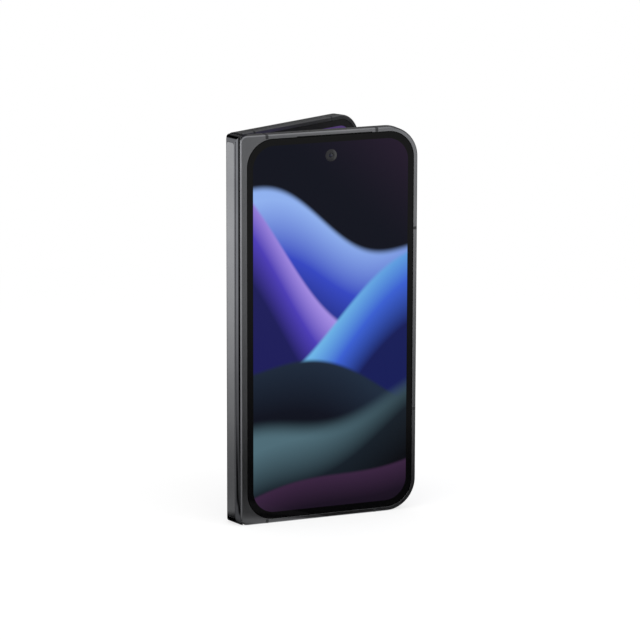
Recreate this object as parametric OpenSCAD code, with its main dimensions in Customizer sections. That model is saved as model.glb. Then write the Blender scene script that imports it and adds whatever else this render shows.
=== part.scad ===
// Book-style foldable phone: two thin halves on a dual-axis hinge, standing half
// opened on its bottom edge. Each half is drawn flat in its own plan: X runs from
// the fold line to the free edge, Y runs up the phone and Z is the depth behind the
// half's outer face. The place_ modules stand the plans up.

/* [Body] */
// Height of the phone
body_h = 155.2; // [148:0.1:165]
// Width of one half, from the fold line to its free edge
half_w = 75.1; // [72:0.1:80]
// Thickness of one half
half_t = 5.1; // [5.1:0.1:5.8]
// Air between the inner faces when the phone is closed
closed_gap = 0.3; // [0.2:0.05:0.6]
// Angle between the halves at rest
rest_angle = 27; // [5:1:90]
// Corner radius at the free edge
free_r = 12.5; // [10:0.1:14]
// Corner radius at the hinge edge
hinge_r = 2.8; // [2:0.1:4]

/* [Frame] */
// Width of the frame rim round the glass
rim_w = 1.7; // [1.5:0.05:2.2]
// Distance of the frame's hinge edge from the fold line
edge_in = 0.5; // [0.4:0.05:0.8]
// Width of the frame face between the hinge edge and the glass
margin_w = 2.75; // [2.4:0.05:3.4]
// Chamfer round both faces of the frame
chamfer = 0.45; // [0.2:0.05:0.6]
// Far side of the rail that carries the hinge arms, from the fold line
rail_end = 8; // [7.6:0.1:9]
// Width of the plastic breaks in the frame
break_w = 1.2; // [0.8:0.1:1.6]
// Width of the ledge under each glass
ledge_w = 1; // [0.6:0.1:1.4]

/* [Glass and displays] */
// Thickness of the outer glasses
glass_t = 0.55; // [0.45:0.05:0.6]
// Step of the outer glass below the frame's face
glass_step = 0.08; // [0.05:0.01:0.12]
// Black border at each side of the outer display
side_border = 2.475; // [2.4:0.025:4]
// Black border at each end of the outer display
end_border = 2.7; // [2.5:0.05:4]
// Thickness of the outer display panel
screen_t = 0.5; // [0.4:0.05:0.6]
// Frame to picture distance on the inner display
inner_border = 4.4; // [4:0.1:5.5]
// Thickness of the inner display's rigid parts
inner_t = 0.45; // [0.35:0.05:0.5]
// Thickness of the raised trim round the inner display
trim_t = 0.3; // [0.2:0.05:0.35]
// Thickness of the folding strip
strip_t = 0.3; // [0.2:0.02:0.34]

/* [Hinge] */
// Depth of each hinge axis below the inner face
axis_depth = 1; // [0.95:0.05:1.1]
// Radius of the spine's shoulders about the hinge axes
spine_r = 3.35; // [3.2:0.05:3.4]
// Width of the spine's flat face
flat_w = 5.6; // [5:0.1:6]
// Wall of the spine cover
spine_wall = 0.75; // [0.6:0.05:0.8]
// Radius at the ends of the spine, seen from the side
spine_end_r = 2.7; // [2:0.1:2.9]
// Width of the satin strip on the spine
strip_w = 5.3; // [4.6:0.1:5.4]
// Distance of the satin strip from the ends of the spine
strip_in = 2.7; // [2.7:0.1:6]
// Inner radius of the arc tongues
tongue_in = 1.4; // [1.38:0.01:1.5]
// Outer radius of the arc tongues
tongue_out = 2; // [1.9:0.01:2.02]
// Length of each arc tongue along the axis
tongue_len = 6; // [4:0.5:8]
// Running clearance of the tongues in their tracks
track_play = 0.06; // [0.04:0.01:0.08]
// Height of the outer hinge blocks' centres from the phone's ends
station_in = 21; // [16:0.5:30]

/* [Keys and tray] */
// Distance of the power button's centre below the top
power_down = 51.2; // [49.2:0.5:57.2]
// Length of the power button
power_len = 11; // [8:0.5:12]
// Travel of the power button
power_travel = 0.3; // [0.2:0.05:0.3]
// Distance of the volume rocker's centre below the top
volume_down = 75.2; // [73.2:0.5:81.2]
// Length of the volume rocker
volume_len = 23; // [18:0.5:24]
// Height of both keys across the frame's edge
key_w = 1.7; // [1.4:0.05:1.8]
// How far the keys stand out of the frame
key_out = 0.45; // [0.35:0.05:0.6]
// Play of the keys and the tray in their slots
slot_play = 0.12; // [0.1:0.01:0.15]
// Height of the card tray's centre
tray_z = 60; // [56:0.5:66]
// Length of the card tray's door along the edge
tray_len = 14.6; // [14.4:0.1:18]
// Depth of the card tray into the phone
tray_deep = 21; // [18:0.5:24]
// Thickness of the tray's plate
tray_t = 0.8; // [0.7:0.05:0.9]

/* [Cameras] */
// Length of the camera island across the phone
island_w = 40; // [38:0.5:42]
// Height of the camera island
island_h = 30; // [28:0.5:32]
// Corner radius of the camera island
island_r = 8; // [6:0.5:10]
// How far the camera island stands out
island_out = 2.6; // [2:0.1:3]
// Distance of the camera island from the free edge and the top
island_in = 5.6; // [5:0.1:7]
// Height of each window strip on the island
window_h = 11; // [10:0.5:12]
// Radius of the rear camera barrels
barrel_r = 4.2; // [3.6:0.1:4.6]
// Height of the front camera below the top of the phone
front_cam_down = 9.7; // [8.6:0.1:10.5]
// Radius of the front camera's clear ring
front_cam_r = 2.4; // [2:0.1:2.6]

/* [Ports] */
// Radius of the sound holes
hole_r = 0.5; // [0.4:0.05:0.6]
// Pitch of the sound holes
hole_pitch = 2.5; // [2:0.1:2.8]
// Width of the charging socket's mouth
usb_w = 8.94; // [8.9:0.01:9]
// Height of the charging socket's mouth
usb_h = 2.56; // [2.5:0.01:2.6]
// Distance of the charging socket's centre from the middle of the half
usb_off = 4.2; // [0:0.1:5]
// Length of the earpiece slit
slit_len = 31.6; // [24:0.2:34]

/* [Inner parts] */
// Clearance between the inner parts
part_gap = 2; // [1.6:0.1:2.4]
// Height of the loudspeaker
speaker_h = 23; // [18:0.5:25]
// Height of the sounders at the top of each half
sounder_h = 7.5; // [6:0.5:8]
// Height of the main board
main_board_h = 44.5; // [40:0.5:46]
// Height of the cover half's lower board
low_board_h = 34; // [30:0.5:36]
// Height of the cover half's upper board
high_board_h = 16; // [14:0.5:18]
// Distance of the shields from their boards' edges
shield_in = 3; // [2:0.5:4]
// Length of the vibration motor
motor_len = 14; // [12:0.5:16]
// Height of the vibration motor
motor_h = 11; // [9:0.5:12]
// Outer radius of the charging coil
coil_outer_r = 21; // [18:0.5:22]
// Inner radius of the charging coil
coil_inner_r = 11; // [9:0.5:14]
// Thickness of the circuit boards
board_t = 0.8; // [0.6:0.05:0.9]

/* [Hidden] */
$fn = 64;

eps = 0.01;
axis_gap = 2 * axis_depth + closed_gap;
axis_u = axis_gap / 2;
axis_v = half_t - axis_depth;
half_angle = rest_angle / 2;
mid_u = (edge_in + half_w) / 2;
spine_flat = sqrt(spine_r * spine_r - pow((flat_w - axis_gap) / 2, 2));
cavity_r = spine_r + 0.15;

// Depths of the layers of one half, from its outer face
glass_back = glass_step + glass_t;
ledge_back = glass_back + 0.6;
screen_front = glass_back + 0.04;
stack_front = ledge_back + 0.1;
panel_front = half_t - 0.4 - inner_t;
mid_t = 0.35;
mid_front = panel_front - 0.05 - mid_t;
stack_back = mid_front - 0.1;
arm_t = 0.65;
arm_back = panel_front - 0.1;
arm_front = arm_back - arm_t;

// Outer glass
glass_u0 = edge_in + margin_w;
glass_u1 = half_w - rim_w;
glass_r = free_r - rim_w;
fit = 0.05;
screen_u0 = glass_u0 + side_border;
screen_w = glass_u1 - glass_u0 - 2 * side_border;
screen_z0 = rim_w + end_border;
screen_h = body_h - 2 * screen_z0;
screen_r = glass_r - 1.8;
cam_u = screen_u0 + screen_w / 2;
cam_z = body_h - front_cam_down;
cam_half = 3;
inner_cam_in = 10.5;
inner_cam_r = 1.7;
slit_mid = mid_u + 2;
slit_u0 = slit_mid - slit_len / 2;
slit_u1 = slit_mid + slit_len / 2;
slit_w = 0.35;

// Inside of one half
room_u0 = rail_end + 0.3;
room_u1 = half_w - rim_w - ledge_w;
room_z0 = rim_w + ledge_w;
room_z1 = body_h - room_z0;
stack_t = stack_back - stack_front;

// Boards and batteries of both halves
board_u0 = room_u0 + part_gap / 2;
board_u1 = room_u1 - 3 * part_gap;
cell_r = 1.5;
low_board_z0 = room_z0 + part_gap;
low_board_z1 = low_board_z0 + low_board_h;
high_board_z1 = room_z1 - sounder_h - part_gap;
high_board_z0 = high_board_z1 - high_board_h;
high_board_u1 = cam_u - cam_half - part_gap / 2;
main_board_z0 = high_board_z1 - main_board_h;
speaker_z1 = room_z0 + speaker_h;
camera_cell_z0 = speaker_z1 + 3 * part_gap;
camera_cell_z1 = main_board_z0 - part_gap;
motor_u1 = board_u1 - shield_in;
motor_u0 = motor_u1 - motor_len;
motor_z0 = low_board_z0 + 2 * shield_in;
low_shield_z1 = main_board_z0 + main_board_h / 2 - 2 * shield_in + part_gap;

// Places along the frame
break_clear = 1.9;
top_breaks = [11.5, slit_u1 + break_clear];
side_break_in = 41;
side_breaks = [side_break_in, body_h - side_break_in];
cover_top_holes = [for (i = [0 : 3]) 22.8 + i * hole_pitch];
camera_top_holes = [for (i = [0 : 6]) 15.6 + i * hole_pitch];
usb_deep = 9.5;
usb_wall = 0.3;
usb_at = mid_u + usb_off;
usb_side = usb_w / 2 + usb_wall;
speaker_u0 = usb_at + usb_side + 0.8;
speaker_holes = [for (i = [0 : 3]) usb_at + usb_side + 1.63 + i * hole_pitch];
key_v = (ledge_back + stack_back) / 2 + 0.1;
key_flange = 0.4;
flange_t = 0.35;
flange_gap = 0.28;
power_z = body_h - power_down;
volume_z = body_h - volume_down;
key_edge = half_w - rim_w;
power_flange_u = key_edge - 0.1;
tray_u0 = half_w - tray_deep;
tray_v0 = key_v - tray_t / 2;
reader_wall = 0.5;
reader_play = 0.15;
reader_u0 = tray_u0 - 2.4;

// Camera island
island_u0 = half_w - island_in - island_w;
island_z0 = body_h - island_in - island_h;
island_mid_u = island_u0 + island_w / 2;
island_mid_z = island_z0 + island_h / 2;
island_base = ledge_back;
row_gap = 2;
row_dz = (window_h + row_gap) / 2;
window_len = island_w - 6;
window_t = 0.5;
lens_du = window_len / 2 - window_h / 2;
module_gap = 1.5;
module_du = (lens_du - module_gap) / 2;
module_dz = row_dz - module_gap;
flash_r = 2.2;
flash_half = 3;
bezel_back = 1.9;

// Hinge stations, from the bottom
stations = [station_in, body_h / 2, body_h - station_in];
block_len = 2 * tongue_len + 4;
tongue_gap = 0.5;
tongue_arc = 140;
block_x0 = -(spine_flat - spine_wall) + 0.06;
block_x1 = 0.1;
block_side = 1.25;
arm_u0 = axis_u + tongue_in;
arm_u1 = rail_end + 1;
arm_len = block_len - 2;
screw_r = 0.6;
head_r = 1.05;
head_t = 0.25;
screw_u = (axis_u + cavity_r + rail_end) / 2;
screw_dz = arm_len / 2 - 2.2;
spine_cut = -0.8;
spine_play = 0.15;
strip_depth = 0.3;
strip_r = 1.2;

// Folding strip
bend_u = 2.4;
flat_u = 4.65;
panel_u0 = 4.75;
strip_back = axis_depth - 0.3;
strip_front = strip_back - strip_t;
strip_z0 = rim_w + 0.6;

// ---------------------------------------------------------------- placing

// Plan to upright: the plan's Y becomes height, its Z becomes depth
module upright() {
    mirror([0, 1, -1]) children();
}

module place_cover() {
    translate([-mid_u, -half_t / 2, 0]) upright() children();
}

// The spine's own frame has its origin on the cover half's hinge axis
module place_spine() {
    translate([axis_u - mid_u, axis_v - half_t / 2, 0]) rotate([0, 0, half_angle]) children();
}

module place_camera() {
    place_spine()
        translate([0, axis_gap, 0])
            rotate([0, 0, half_angle])
                translate([-axis_u, axis_v, 0]) mirror([0, 1, 0]) upright() children();
}

// ---------------------------------------------------------------- shared shapes

// Rounded rectangle with one radius at its left corners and one at its right
module outline(u0, z0, u1, z1, left_r, right_r) {
    translate([u0 + left_r, z0]) square([u1 - right_r - u0 - left_r, z1 - z0]);
    translate([u0, z0 + left_r]) square([left_r, z1 - z0 - 2 * left_r]);
    translate([u1 - right_r, z0 + right_r]) square([right_r, z1 - z0 - 2 * right_r]);
    for (z = [z0 + left_r, z1 - left_r]) translate([u0 + left_r, z]) circle(r = left_r);
    for (z = [z0 + right_r, z1 - right_r]) translate([u1 - right_r, z]) circle(r = right_r);
}

module plate(u0, z0, u1, z1, r, front, back) {
    translate([0, 0, front]) linear_extrude(back - front) outline(u0, z0, u1, z1, r, r);
}

module block(u0, z0, u1, z1, front, back) {
    translate([u0, z0, front]) cube([u1 - u0, z1 - z0, back - front]);
}

// Section of the frame: X is the distance in from its edge, Y is the depth
module rim_section(width, depth) {
    polygon([
        [width, 0], [chamfer, 0], [0, chamfer],
        [0, depth - chamfer], [chamfer, depth], [width, depth]
    ]);
}

module rim_bar(length, width, depth) {
    rotate([90, 0, 90]) linear_extrude(length) rim_section(width, depth);
}

module rim_corner(r) {
    rotate_extrude(angle = 90) translate([r, 0]) mirror([1, 0]) rim_section(rim_w, half_t);
}

// Top, bottom and free sides of the frame, with all four corners
module rim() {
    bar_u = edge_in + hinge_r;
    bar_len = half_w - free_r - bar_u;
    translate([bar_u, 0, 0]) rim_bar(bar_len, rim_w, half_t);
    translate([bar_u, body_h, 0]) mirror([0, 1, 0]) rim_bar(bar_len, rim_w, half_t);
    translate([half_w, free_r, 0])
        rotate([0, 0, 90]) rim_bar(body_h - 2 * free_r, rim_w, half_t);
    translate([half_w - free_r, free_r, 0]) rotate([0, 0, -90]) rim_corner(free_r);
    translate([half_w - free_r, body_h - free_r, 0]) rim_corner(free_r);
    translate([bar_u, hinge_r, 0]) rotate([0, 0, 180]) rim_corner(hinge_r);
    translate([bar_u, body_h - hinge_r, 0]) rotate([0, 0, 90]) rim_corner(hinge_r);
}

// Lip over the spine and the rail that the hinge arms are screwed to
module hinge_rail() {
    translate([edge_in, body_h - hinge_r, 0])
        rotate([0, 0, -90])
            rim_bar(body_h - 2 * hinge_r, hinge_r, ledge_back + chamfer);
    block(edge_in + rim_w - eps, rim_w - eps, edge_in + hinge_r, body_h - rim_w + eps,
        0, ledge_back);
    block(edge_in + hinge_r - eps, rim_w - eps, rail_end, body_h - rim_w + eps, 0, arm_front);
}

module glass_outline(grow) {
    outline(glass_u0 - grow, rim_w - grow, glass_u1 + grow, body_h - rim_w + grow,
        glass_r + grow, glass_r + grow);
}

// Break bars are cut from the rim and filled by the antenna breaks
module break_bars() {
    for (u = top_breaks) {
        block(u - break_w / 2, -1, u + break_w / 2, rim_w, -1, half_t + 1);
        block(u - break_w / 2, body_h - rim_w, u + break_w / 2, body_h + 1, -1, half_t + 1);
    }
    for (z = side_breaks)
        block(half_w - rim_w, z - break_w / 2, half_w + 1, z + break_w / 2, -1, half_t + 1);
}

module antenna_breaks() {
    intersection() {
        rim();
        break_bars();
    }
}

// Everything that the frames of both halves share
module frame_body() {
    difference() {
        union() {
            rim();
            hinge_rail();
            linear_extrude(ledge_back) difference() {
                outline(edge_in + hinge_r, rim_w - eps, glass_u1 + eps, body_h - rim_w + eps,
                    eps, glass_r);
                outline(rail_end - eps, rim_w + ledge_w, glass_u1 - ledge_w,
                    body_h - rim_w - ledge_w, eps, glass_r - ledge_w);
            }
        }
        translate([0, 0, -1]) linear_extrude(glass_back + 1) glass_outline(fit);
        screen_pocket();
        break_bars();
        hinge_cavity();
        for (z = stations, s = [-1, 1])
            translate([screw_u, z + s * screw_dz, arm_front - 1.6])
                cylinder(r = screw_r, h = 2);
    }
}

module screen_pocket() {
    plate(screen_u0 - fit, screen_z0 - fit, screen_u0 + screen_w + fit,
        screen_z0 + screen_h + fit, screen_r, glass_back - eps, screen_front + screen_t + 0.05);
}

module hinge_cavity() {
    translate([axis_u, -1, axis_v]) rotate([-90, 0, 0]) cylinder(r = cavity_r, h = body_h + 2);
}

module outer_glass() {
    translate([0, 0, glass_step]) linear_extrude(glass_t) glass_outline(0);
}

module holes(list, y) {
    for (u = list)
        translate([u, y - rim_w - 1, half_t / 2]) rotate([-90, 0, 0])
            cylinder(r = hole_r, h = 2 * rim_w + 2);
}

module midplate() {
    plate(arm_u1 + 0.15, rim_w + 0.1, half_w - rim_w - 0.1, body_h - rim_w - 0.1, glass_r,
        mid_front, mid_front + mid_t);
}

module inner_panel() {
    translate([0, 0, panel_front]) linear_extrude(inner_t)
        outline(panel_u0, rim_w + 0.1, half_w - rim_w - 0.1, body_h - rim_w - 0.1, eps, glass_r);
}

module inner_trim() {
    translate([0, 0, panel_front + inner_t]) linear_extrude(trim_t) difference() {
        outline(panel_u0, rim_w + 0.1, half_w - rim_w - 0.1, body_h - rim_w - 0.1, eps, glass_r);
        translate([-1, 0])
            outline(panel_u0, inner_border, half_w - inner_border + 1,
                body_h - inner_border, eps, free_r - inner_border);
    }
}

// Arms: a plate on the rail with one arc tongue about the hinge axis at each station
module hinge_arms(side) {
    for (z = stations) {
        difference() {
            block(arm_u0, z - arm_len / 2, arm_u1, z + arm_len / 2, arm_front, arm_back);
            for (s = [-1, 1]) translate([screw_u, z + s * screw_dz, arm_front - 1]) {
                cylinder(r = screw_r, h = 3);
                translate([0, 0, 1 + arm_t - head_t]) cylinder(r = head_r, h = 3);
            }
        }
        translate([axis_u, z + side * (tongue_len + tongue_gap) / 2, axis_v])
            rotate([-90, 0, 0]) tongue();
    }
}

// Arc from just under the spine's flat face round to the arm plate
module tongue() {
    translate([0, 0, -tongue_len / 2])
        rotate_extrude(angle = tongue_arc)
            translate([tongue_in, 0]) square([tongue_out - tongue_in, tongue_len]);
}

module arm_screws() {
    for (z = stations, s = [-1, 1]) translate([screw_u, z + s * screw_dz, 0]) {
        translate([0, 0, arm_front - 1.5]) cylinder(r = screw_r - 0.02, h = 1.5 + arm_t - head_t);
        translate([0, 0, arm_back - head_t]) cylinder(r = head_r - 0.05, h = head_t);
    }
}

// ---------------------------------------------------------------- cover half

module cover_frame() {
    color("#3a3a3c") place_cover() difference() {
        frame_body();
        holes(cover_top_holes, body_h);
        block(slit_u0, body_h - rim_w - eps, slit_u1, body_h - rim_w + slit_w, -1, glass_back);
        tray_slot();
    }
}

module tray_slot() {
    plate(0, tray_z - tray_len / 2 - slot_play, half_w + 5, tray_z + tray_len / 2 + slot_play,
        eps, key_v - key_w / 2 - slot_play, key_v + key_w / 2 + slot_play);
}

module cover_antenna_breaks() {
    color("#2b2b2d") place_cover() antenna_breaks();
}

module cover_glass() {
    color("#101013") place_cover() outer_glass();
}

module cover_display() {
    color("#1c2a5a") place_cover() difference() {
        plate(screen_u0, screen_z0, screen_u0 + screen_w, screen_z0 + screen_h, screen_r,
            screen_front, screen_front + screen_t);
        translate([cam_u, cam_z, 0]) cylinder(r = front_cam_r, h = half_t);
    }
}

module front_camera() {
    color("#0b0b0e") place_cover() {
        translate([cam_u, cam_z, screen_front])
            cylinder(r = front_cam_r - 0.2, h = stack_front - screen_front + eps);
        block(cam_u - cam_half, cam_z - cam_half, cam_u + cam_half, cam_z + cam_half,
            stack_front, stack_back);
    }
}

module earpiece_mesh() {
    color("#151517") place_cover()
        block(slit_u0 + 0.1, body_h - rim_w + 0.06, slit_u1 - 0.1, body_h - rim_w + slit_w - 0.05,
            0.25, glass_back - 0.05);
}

module earpiece_receiver() {
    color("#606468") place_cover()
        plate(slit_mid + 3 * part_gap, room_z1 - sounder_h, slit_u1 + 3 * part_gap,
            room_z1 - 0.2, 1, stack_front, stack_back);
}

module cover_battery() {
    color("#55585c") place_cover()
        plate(board_u0, low_board_z1 + part_gap, reader_u0 - part_gap, high_board_z0 - part_gap,
            cell_r, stack_front, stack_back);
}

module cover_board() {
    color("#1f5134") place_cover() {
        block(board_u0, low_board_z0, board_u1, low_board_z1, stack_front, stack_front + board_t);
        block(board_u0, high_board_z0, high_board_u1, high_board_z1,
            stack_front, stack_front + board_t);
    }
}

module cover_board_shields() {
    color("#b9bcc0") place_cover() {
        block(board_u0 + shield_in, low_board_z0 + shield_in, motor_u0 - shield_in,
            low_board_z1 - shield_in, stack_front + board_t, stack_back);
        block(board_u0 + shield_in, high_board_z0 + shield_in, high_board_u1 - shield_in,
            high_board_z1 - shield_in, stack_front + board_t, stack_back);
    }
}

module vibration_motor() {
    color("#8f9296") place_cover()
        block(motor_u0, motor_z0, motor_u1, motor_z0 + motor_h, stack_front + board_t,
            stack_back);
}

// Shell round the card tray, open towards the frame's slot
module card_reader() {
    color("#a8abb0") place_cover() difference() {
        block(reader_u0, tray_z - tray_len / 2 - 0.1 - reader_wall, key_edge - 0.8,
            tray_z + tray_len / 2 + 0.1 + reader_wall, tray_v0 - reader_play - 0.35,
            tray_v0 + tray_t + reader_play + 0.35);
        block(reader_u0 + reader_wall, tray_z - tray_len / 2 - 0.1, half_w,
            tray_z + tray_len / 2 + 0.1, tray_v0 - reader_play, tray_v0 + tray_t + reader_play);
    }
}

module card_tray() {
    color("#3a3a3c") place_cover() {
        block(key_edge + 0.1, tray_z - tray_len / 2, half_w - 0.02, tray_z + tray_len / 2,
            key_v - key_w / 2, key_v + key_w / 2);
        difference() {
            block(tray_u0, tray_z - tray_len / 2 + 0.3, key_edge + 0.1 + eps,
                tray_z + tray_len / 2 - 0.3, tray_v0, tray_v0 + tray_t);
            block(tray_u0 + 2, tray_z - tray_len / 2 + 1.3, key_edge - 4,
                tray_z + tray_len / 2 - 1.3, tray_v0 - 1, tray_v0 + tray_t + 1);
        }
    }
}

module cover_midplate() {
    color("#9a9ea3") place_cover() midplate();
}

module cover_inner_panel() {
    color("#111114") place_cover() inner_panel();
}

module cover_inner_trim() {
    color("#0c0c0e") place_cover() inner_trim();
}

module cover_hinge_arms() {
    color("#b3b6ba") place_cover() hinge_arms(-1);
}

module cover_arm_screws() {
    color("#d0d2d5") place_cover() arm_screws();
}

// ---------------------------------------------------------------- camera half

module camera_frame() {
    color("#3a3a3c") place_camera() difference() {
        frame_body();
        holes(camera_top_holes, body_h);
        holes(speaker_holes, 0);
        key_slot(power_z, power_len);
        key_slot(volume_z, volume_len);
        usb_mouth(-1, usb_deep, 0);
        usb_mouth(rim_w, usb_deep, usb_wall + fit);
    }
}

module key_slot(z, length) {
    block(half_w - rim_w - 1, z - length / 2 - slot_play, half_w + 1, z + length / 2 + slot_play,
        key_v - key_w / 2 - slot_play, key_v + key_w / 2 + slot_play);
}

// Stadium along the height: wall grows it outwards
module usb_mouth(y0, y1, wall) {
    r = usb_h / 2 + wall;
    translate([usb_at, y0, half_t / 2]) rotate([-90, 0, 0]) {
        for (s = [-1, 1]) translate([s * (usb_w - usb_h) / 2, 0, 0]) cylinder(r = r, h = y1 - y0);
        translate([-(usb_w - usb_h) / 2, -r, 0]) cube([usb_w - usb_h, 2 * r, y1 - y0]);
    }
}

module camera_antenna_breaks() {
    color("#2b2b2d") place_camera() antenna_breaks();
}

module rear_glass() {
    color("#1a1a1c") place_camera() difference() {
        outer_glass();
        plate(island_u0 - fit, island_z0 - fit, island_u0 + island_w + fit,
            island_z0 + island_h + fit, island_r + fit, -1, half_t);
    }
}

module window(row, front, back, grow) {
    z = island_mid_z + row * row_dz;
    plate(island_mid_u - window_len / 2 - grow, z - window_h / 2 - grow,
        island_mid_u + window_len / 2 + grow, z + window_h / 2 + grow, window_h / 2 + grow - eps,
        front, back);
}

module camera_island() {
    color("#2c2c2e") place_camera() difference() {
        plate(island_u0, island_z0, island_u0 + island_w, island_z0 + island_h, island_r,
            -island_out, island_base);
        for (row = [-1, 1]) window(row, -island_out - 1, -island_out + 0.1 + window_t, fit);
        for (row = [-1, 1]) window(row, -island_out, island_base + 1, -0.6);
    }
}

module window_strips() {
    color("#08080a") place_camera()
        for (row = [-1, 1]) window(row, -island_out + 0.1, -island_out + 0.1 + window_t, 0);
}

module rear_camera(u, row) {
    z = island_mid_z + row * row_dz;
    translate([u, z, -bezel_back]) cylinder(r = barrel_r, h = stack_front + bezel_back + eps);
    block(u - module_du, z - module_dz, u + module_du, z + module_dz, stack_front, stack_back);
}

module wide_camera() {
    color("#1e1e22") place_camera() rear_camera(island_mid_u + lens_du, 1);
}

module ultrawide_camera() {
    color("#1e1e22") place_camera() rear_camera(island_mid_u + lens_du, -1);
}

module tele_camera() {
    color("#1e1e22") place_camera() rear_camera(island_mid_u, 1);
}

module flash_module() {
    z = island_mid_z - row_dz;
    color("#f2efe0") place_camera() {
        translate([island_mid_u, z, -bezel_back])
            cylinder(r = flash_r, h = stack_front + bezel_back);
        block(island_mid_u - flash_half, z - flash_half, island_mid_u + flash_half, z + flash_half,
            stack_front - eps, stack_back);
    }
}

module camera_battery() {
    color("#55585c") place_camera()
        plate(board_u0, camera_cell_z0, board_u1 - part_gap, camera_cell_z1, cell_r,
            stack_front, stack_back);
}

module main_board() {
    color("#1f5134") place_camera() difference() {
        block(board_u0, main_board_z0, board_u1, high_board_z1, stack_front,
            stack_front + board_t);
        block(island_u0 - 0.5, island_z0 - 0.5, half_w, body_h, 0, half_t);
    }
}

module main_board_shields() {
    color("#b9bcc0") place_camera() {
        block(board_u0 + shield_in, main_board_z0 + shield_in, mid_u + part_gap, low_shield_z1,
            stack_front + board_t, stack_back);
        block(board_u0 + shield_in, low_shield_z1 + shield_in, island_u0 - shield_in,
            high_board_z1 - shield_in, stack_front + board_t, stack_back);
    }
}

module charging_coil() {
    coil_z = (camera_cell_z0 + camera_cell_z1) / 2;
    color("#b87333") place_camera() translate([mid_u, coil_z, glass_back + 0.02]) difference() {
        cylinder(r = coil_outer_r, h = stack_front - glass_back - 0.07);
        translate([0, 0, -1]) cylinder(r = coil_inner_r, h = 3);
    }
}

module charging_socket() {
    color("#c4c6c9") place_camera() {
        difference() {
            usb_mouth(rim_w + fit, usb_deep, usb_wall);
            usb_mouth(rim_w - 1, usb_deep - 0.8, 0);
        }
        block(usb_at - 3.35, 3, usb_at + 3.35, usb_deep - 0.5,
            half_t / 2 - 0.35, half_t / 2 + 0.35);
    }
}

module loudspeaker() {
    color("#45484c") place_camera() translate([0, 0, stack_front]) linear_extrude(stack_t)
        outline(speaker_u0, room_z0 + 0.3, room_u1 - 1, speaker_z1, 1, glass_r - ledge_w);
}

module top_speaker() {
    color("#45484c") place_camera()
        plate(camera_top_holes[0] - part_gap, room_z1 - sounder_h,
            camera_top_holes[5] + part_gap, room_z1 - 0.3, 1, stack_front, stack_back);
}

// A key: its cap in the slot and a flange that holds it inside the frame
module key(z, length, flange_u) {
    block(flange_u, z - length / 2, half_w + key_out, z + length / 2,
        key_v - key_w / 2, key_v + key_w / 2);
    block(flange_u - flange_t, z - length / 2 - key_flange, flange_u,
        z + length / 2 + key_flange, key_v - key_w / 2, key_v + key_w / 2);
}

module power_button() {
    color("#3a3a3c") place_camera() key(power_z, power_len, power_flange_u);
}

module volume_rocker() {
    color("#3a3a3c") place_camera() key(volume_z, volume_len, key_edge - flange_gap);
}

module key_switches() {
    switch_u1 = power_flange_u - flange_t - power_travel - 0.08;
    switch_u0 = switch_u1 - 1;
    rocker_arm = volume_len / 2 - 4.5;
    color("#c8cacd") place_camera() {
        block(switch_u0, power_z - 2.5, switch_u1, power_z + 2.5,
            key_v - key_w / 2, key_v + key_w / 2);
        for (z = [volume_z - rocker_arm, volume_z + rocker_arm])
            block(switch_u0, z - 2, switch_u1 - 0.1, z + 2,
                key_v - key_w / 2, key_v + key_w / 2);
        block(switch_u0 - 0.6, volume_z - volume_len / 2 + 0.5, switch_u0,
            power_z + power_len / 2 - 1.5, key_v - key_w / 2, key_v + key_w / 2);
    }
}

module camera_midplate() {
    usb_room = usb_side + 0.2;
    color("#9a9ea3") place_camera() difference() {
        midplate();
        block(usb_at - usb_room, 0, usb_at + usb_room, usb_deep + 0.2, 0, half_t);
    }
}

module camera_inner_panel() {
    color("#111114") place_camera() inner_panel();
}

module camera_inner_trim() {
    color("#0c0c0e") place_camera() inner_trim();
}

module inner_camera() {
    color("#0b0b0e") place_camera()
        translate([half_w - inner_cam_in, body_h - inner_cam_in, half_t - 0.4])
            cylinder(r = inner_cam_r, h = 0.2);
}

module camera_hinge_arms() {
    color("#b3b6ba") place_camera() hinge_arms(1);
}

module camera_arm_screws() {
    color("#d0d2d5") place_camera() arm_screws();
}

// ---------------------------------------------------------------- spine

// Section of the spine about both axes, its flat face at -flat
module spine_section(r, flat, right) {
    intersection() {
        union() {
            circle(r = r);
            translate([0, axis_gap]) circle(r = r);
            translate([-r, 0]) square([2 * r, axis_gap]);
        }
        translate([-flat, -r]) square([flat + right, axis_gap + 2 * r]);
    }
}

// Side view of the spine, with its rounded ends, carried right across it
module spine_profile(x1) {
    translate([0, axis_gap + spine_r + 1, 0])
        rotate([90, 0, 0])
            linear_extrude(axis_gap + 2 * spine_r + 2)
                outline(-spine_flat, spine_play, x1, body_h - spine_play, spine_end_r, eps);
}

module satin_strip(grow, front, back) {
    mid_y = axis_gap / 2;
    translate([-back, 0, 0]) rotate([90, 0, 90]) linear_extrude(back - front)
        outline(mid_y - strip_w / 2 - grow, strip_in - grow, mid_y + strip_w / 2 + grow,
            body_h - strip_in + grow, strip_r, strip_r);
}

module spine_cover() {
    color("#1d1d1f") place_spine() difference() {
        intersection() {
            linear_extrude(body_h) difference() {
                spine_section(spine_r, spine_flat, spine_cut);
                spine_section(spine_r - spine_wall, spine_flat - spine_wall, 1);
            }
            spine_profile(1);
        }
        satin_strip(fit, spine_flat - strip_depth, spine_flat + 1);
    }
}

module spine_strip() {
    color("#77777a") place_spine() satin_strip(0, spine_flat - strip_depth, spine_flat);
}

module spine_end_caps() {
    cap_t = 1.2;
    color("#141416") place_spine() intersection() {
        for (z = [0, body_h - spine_play - cap_t]) translate([0, 0, z])
            linear_extrude(cap_t + spine_play)
                spine_section(spine_r - spine_wall - 0.02, spine_flat - spine_wall - 0.02, 0.1);
        spine_profile(0.1);
    }
}

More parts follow.
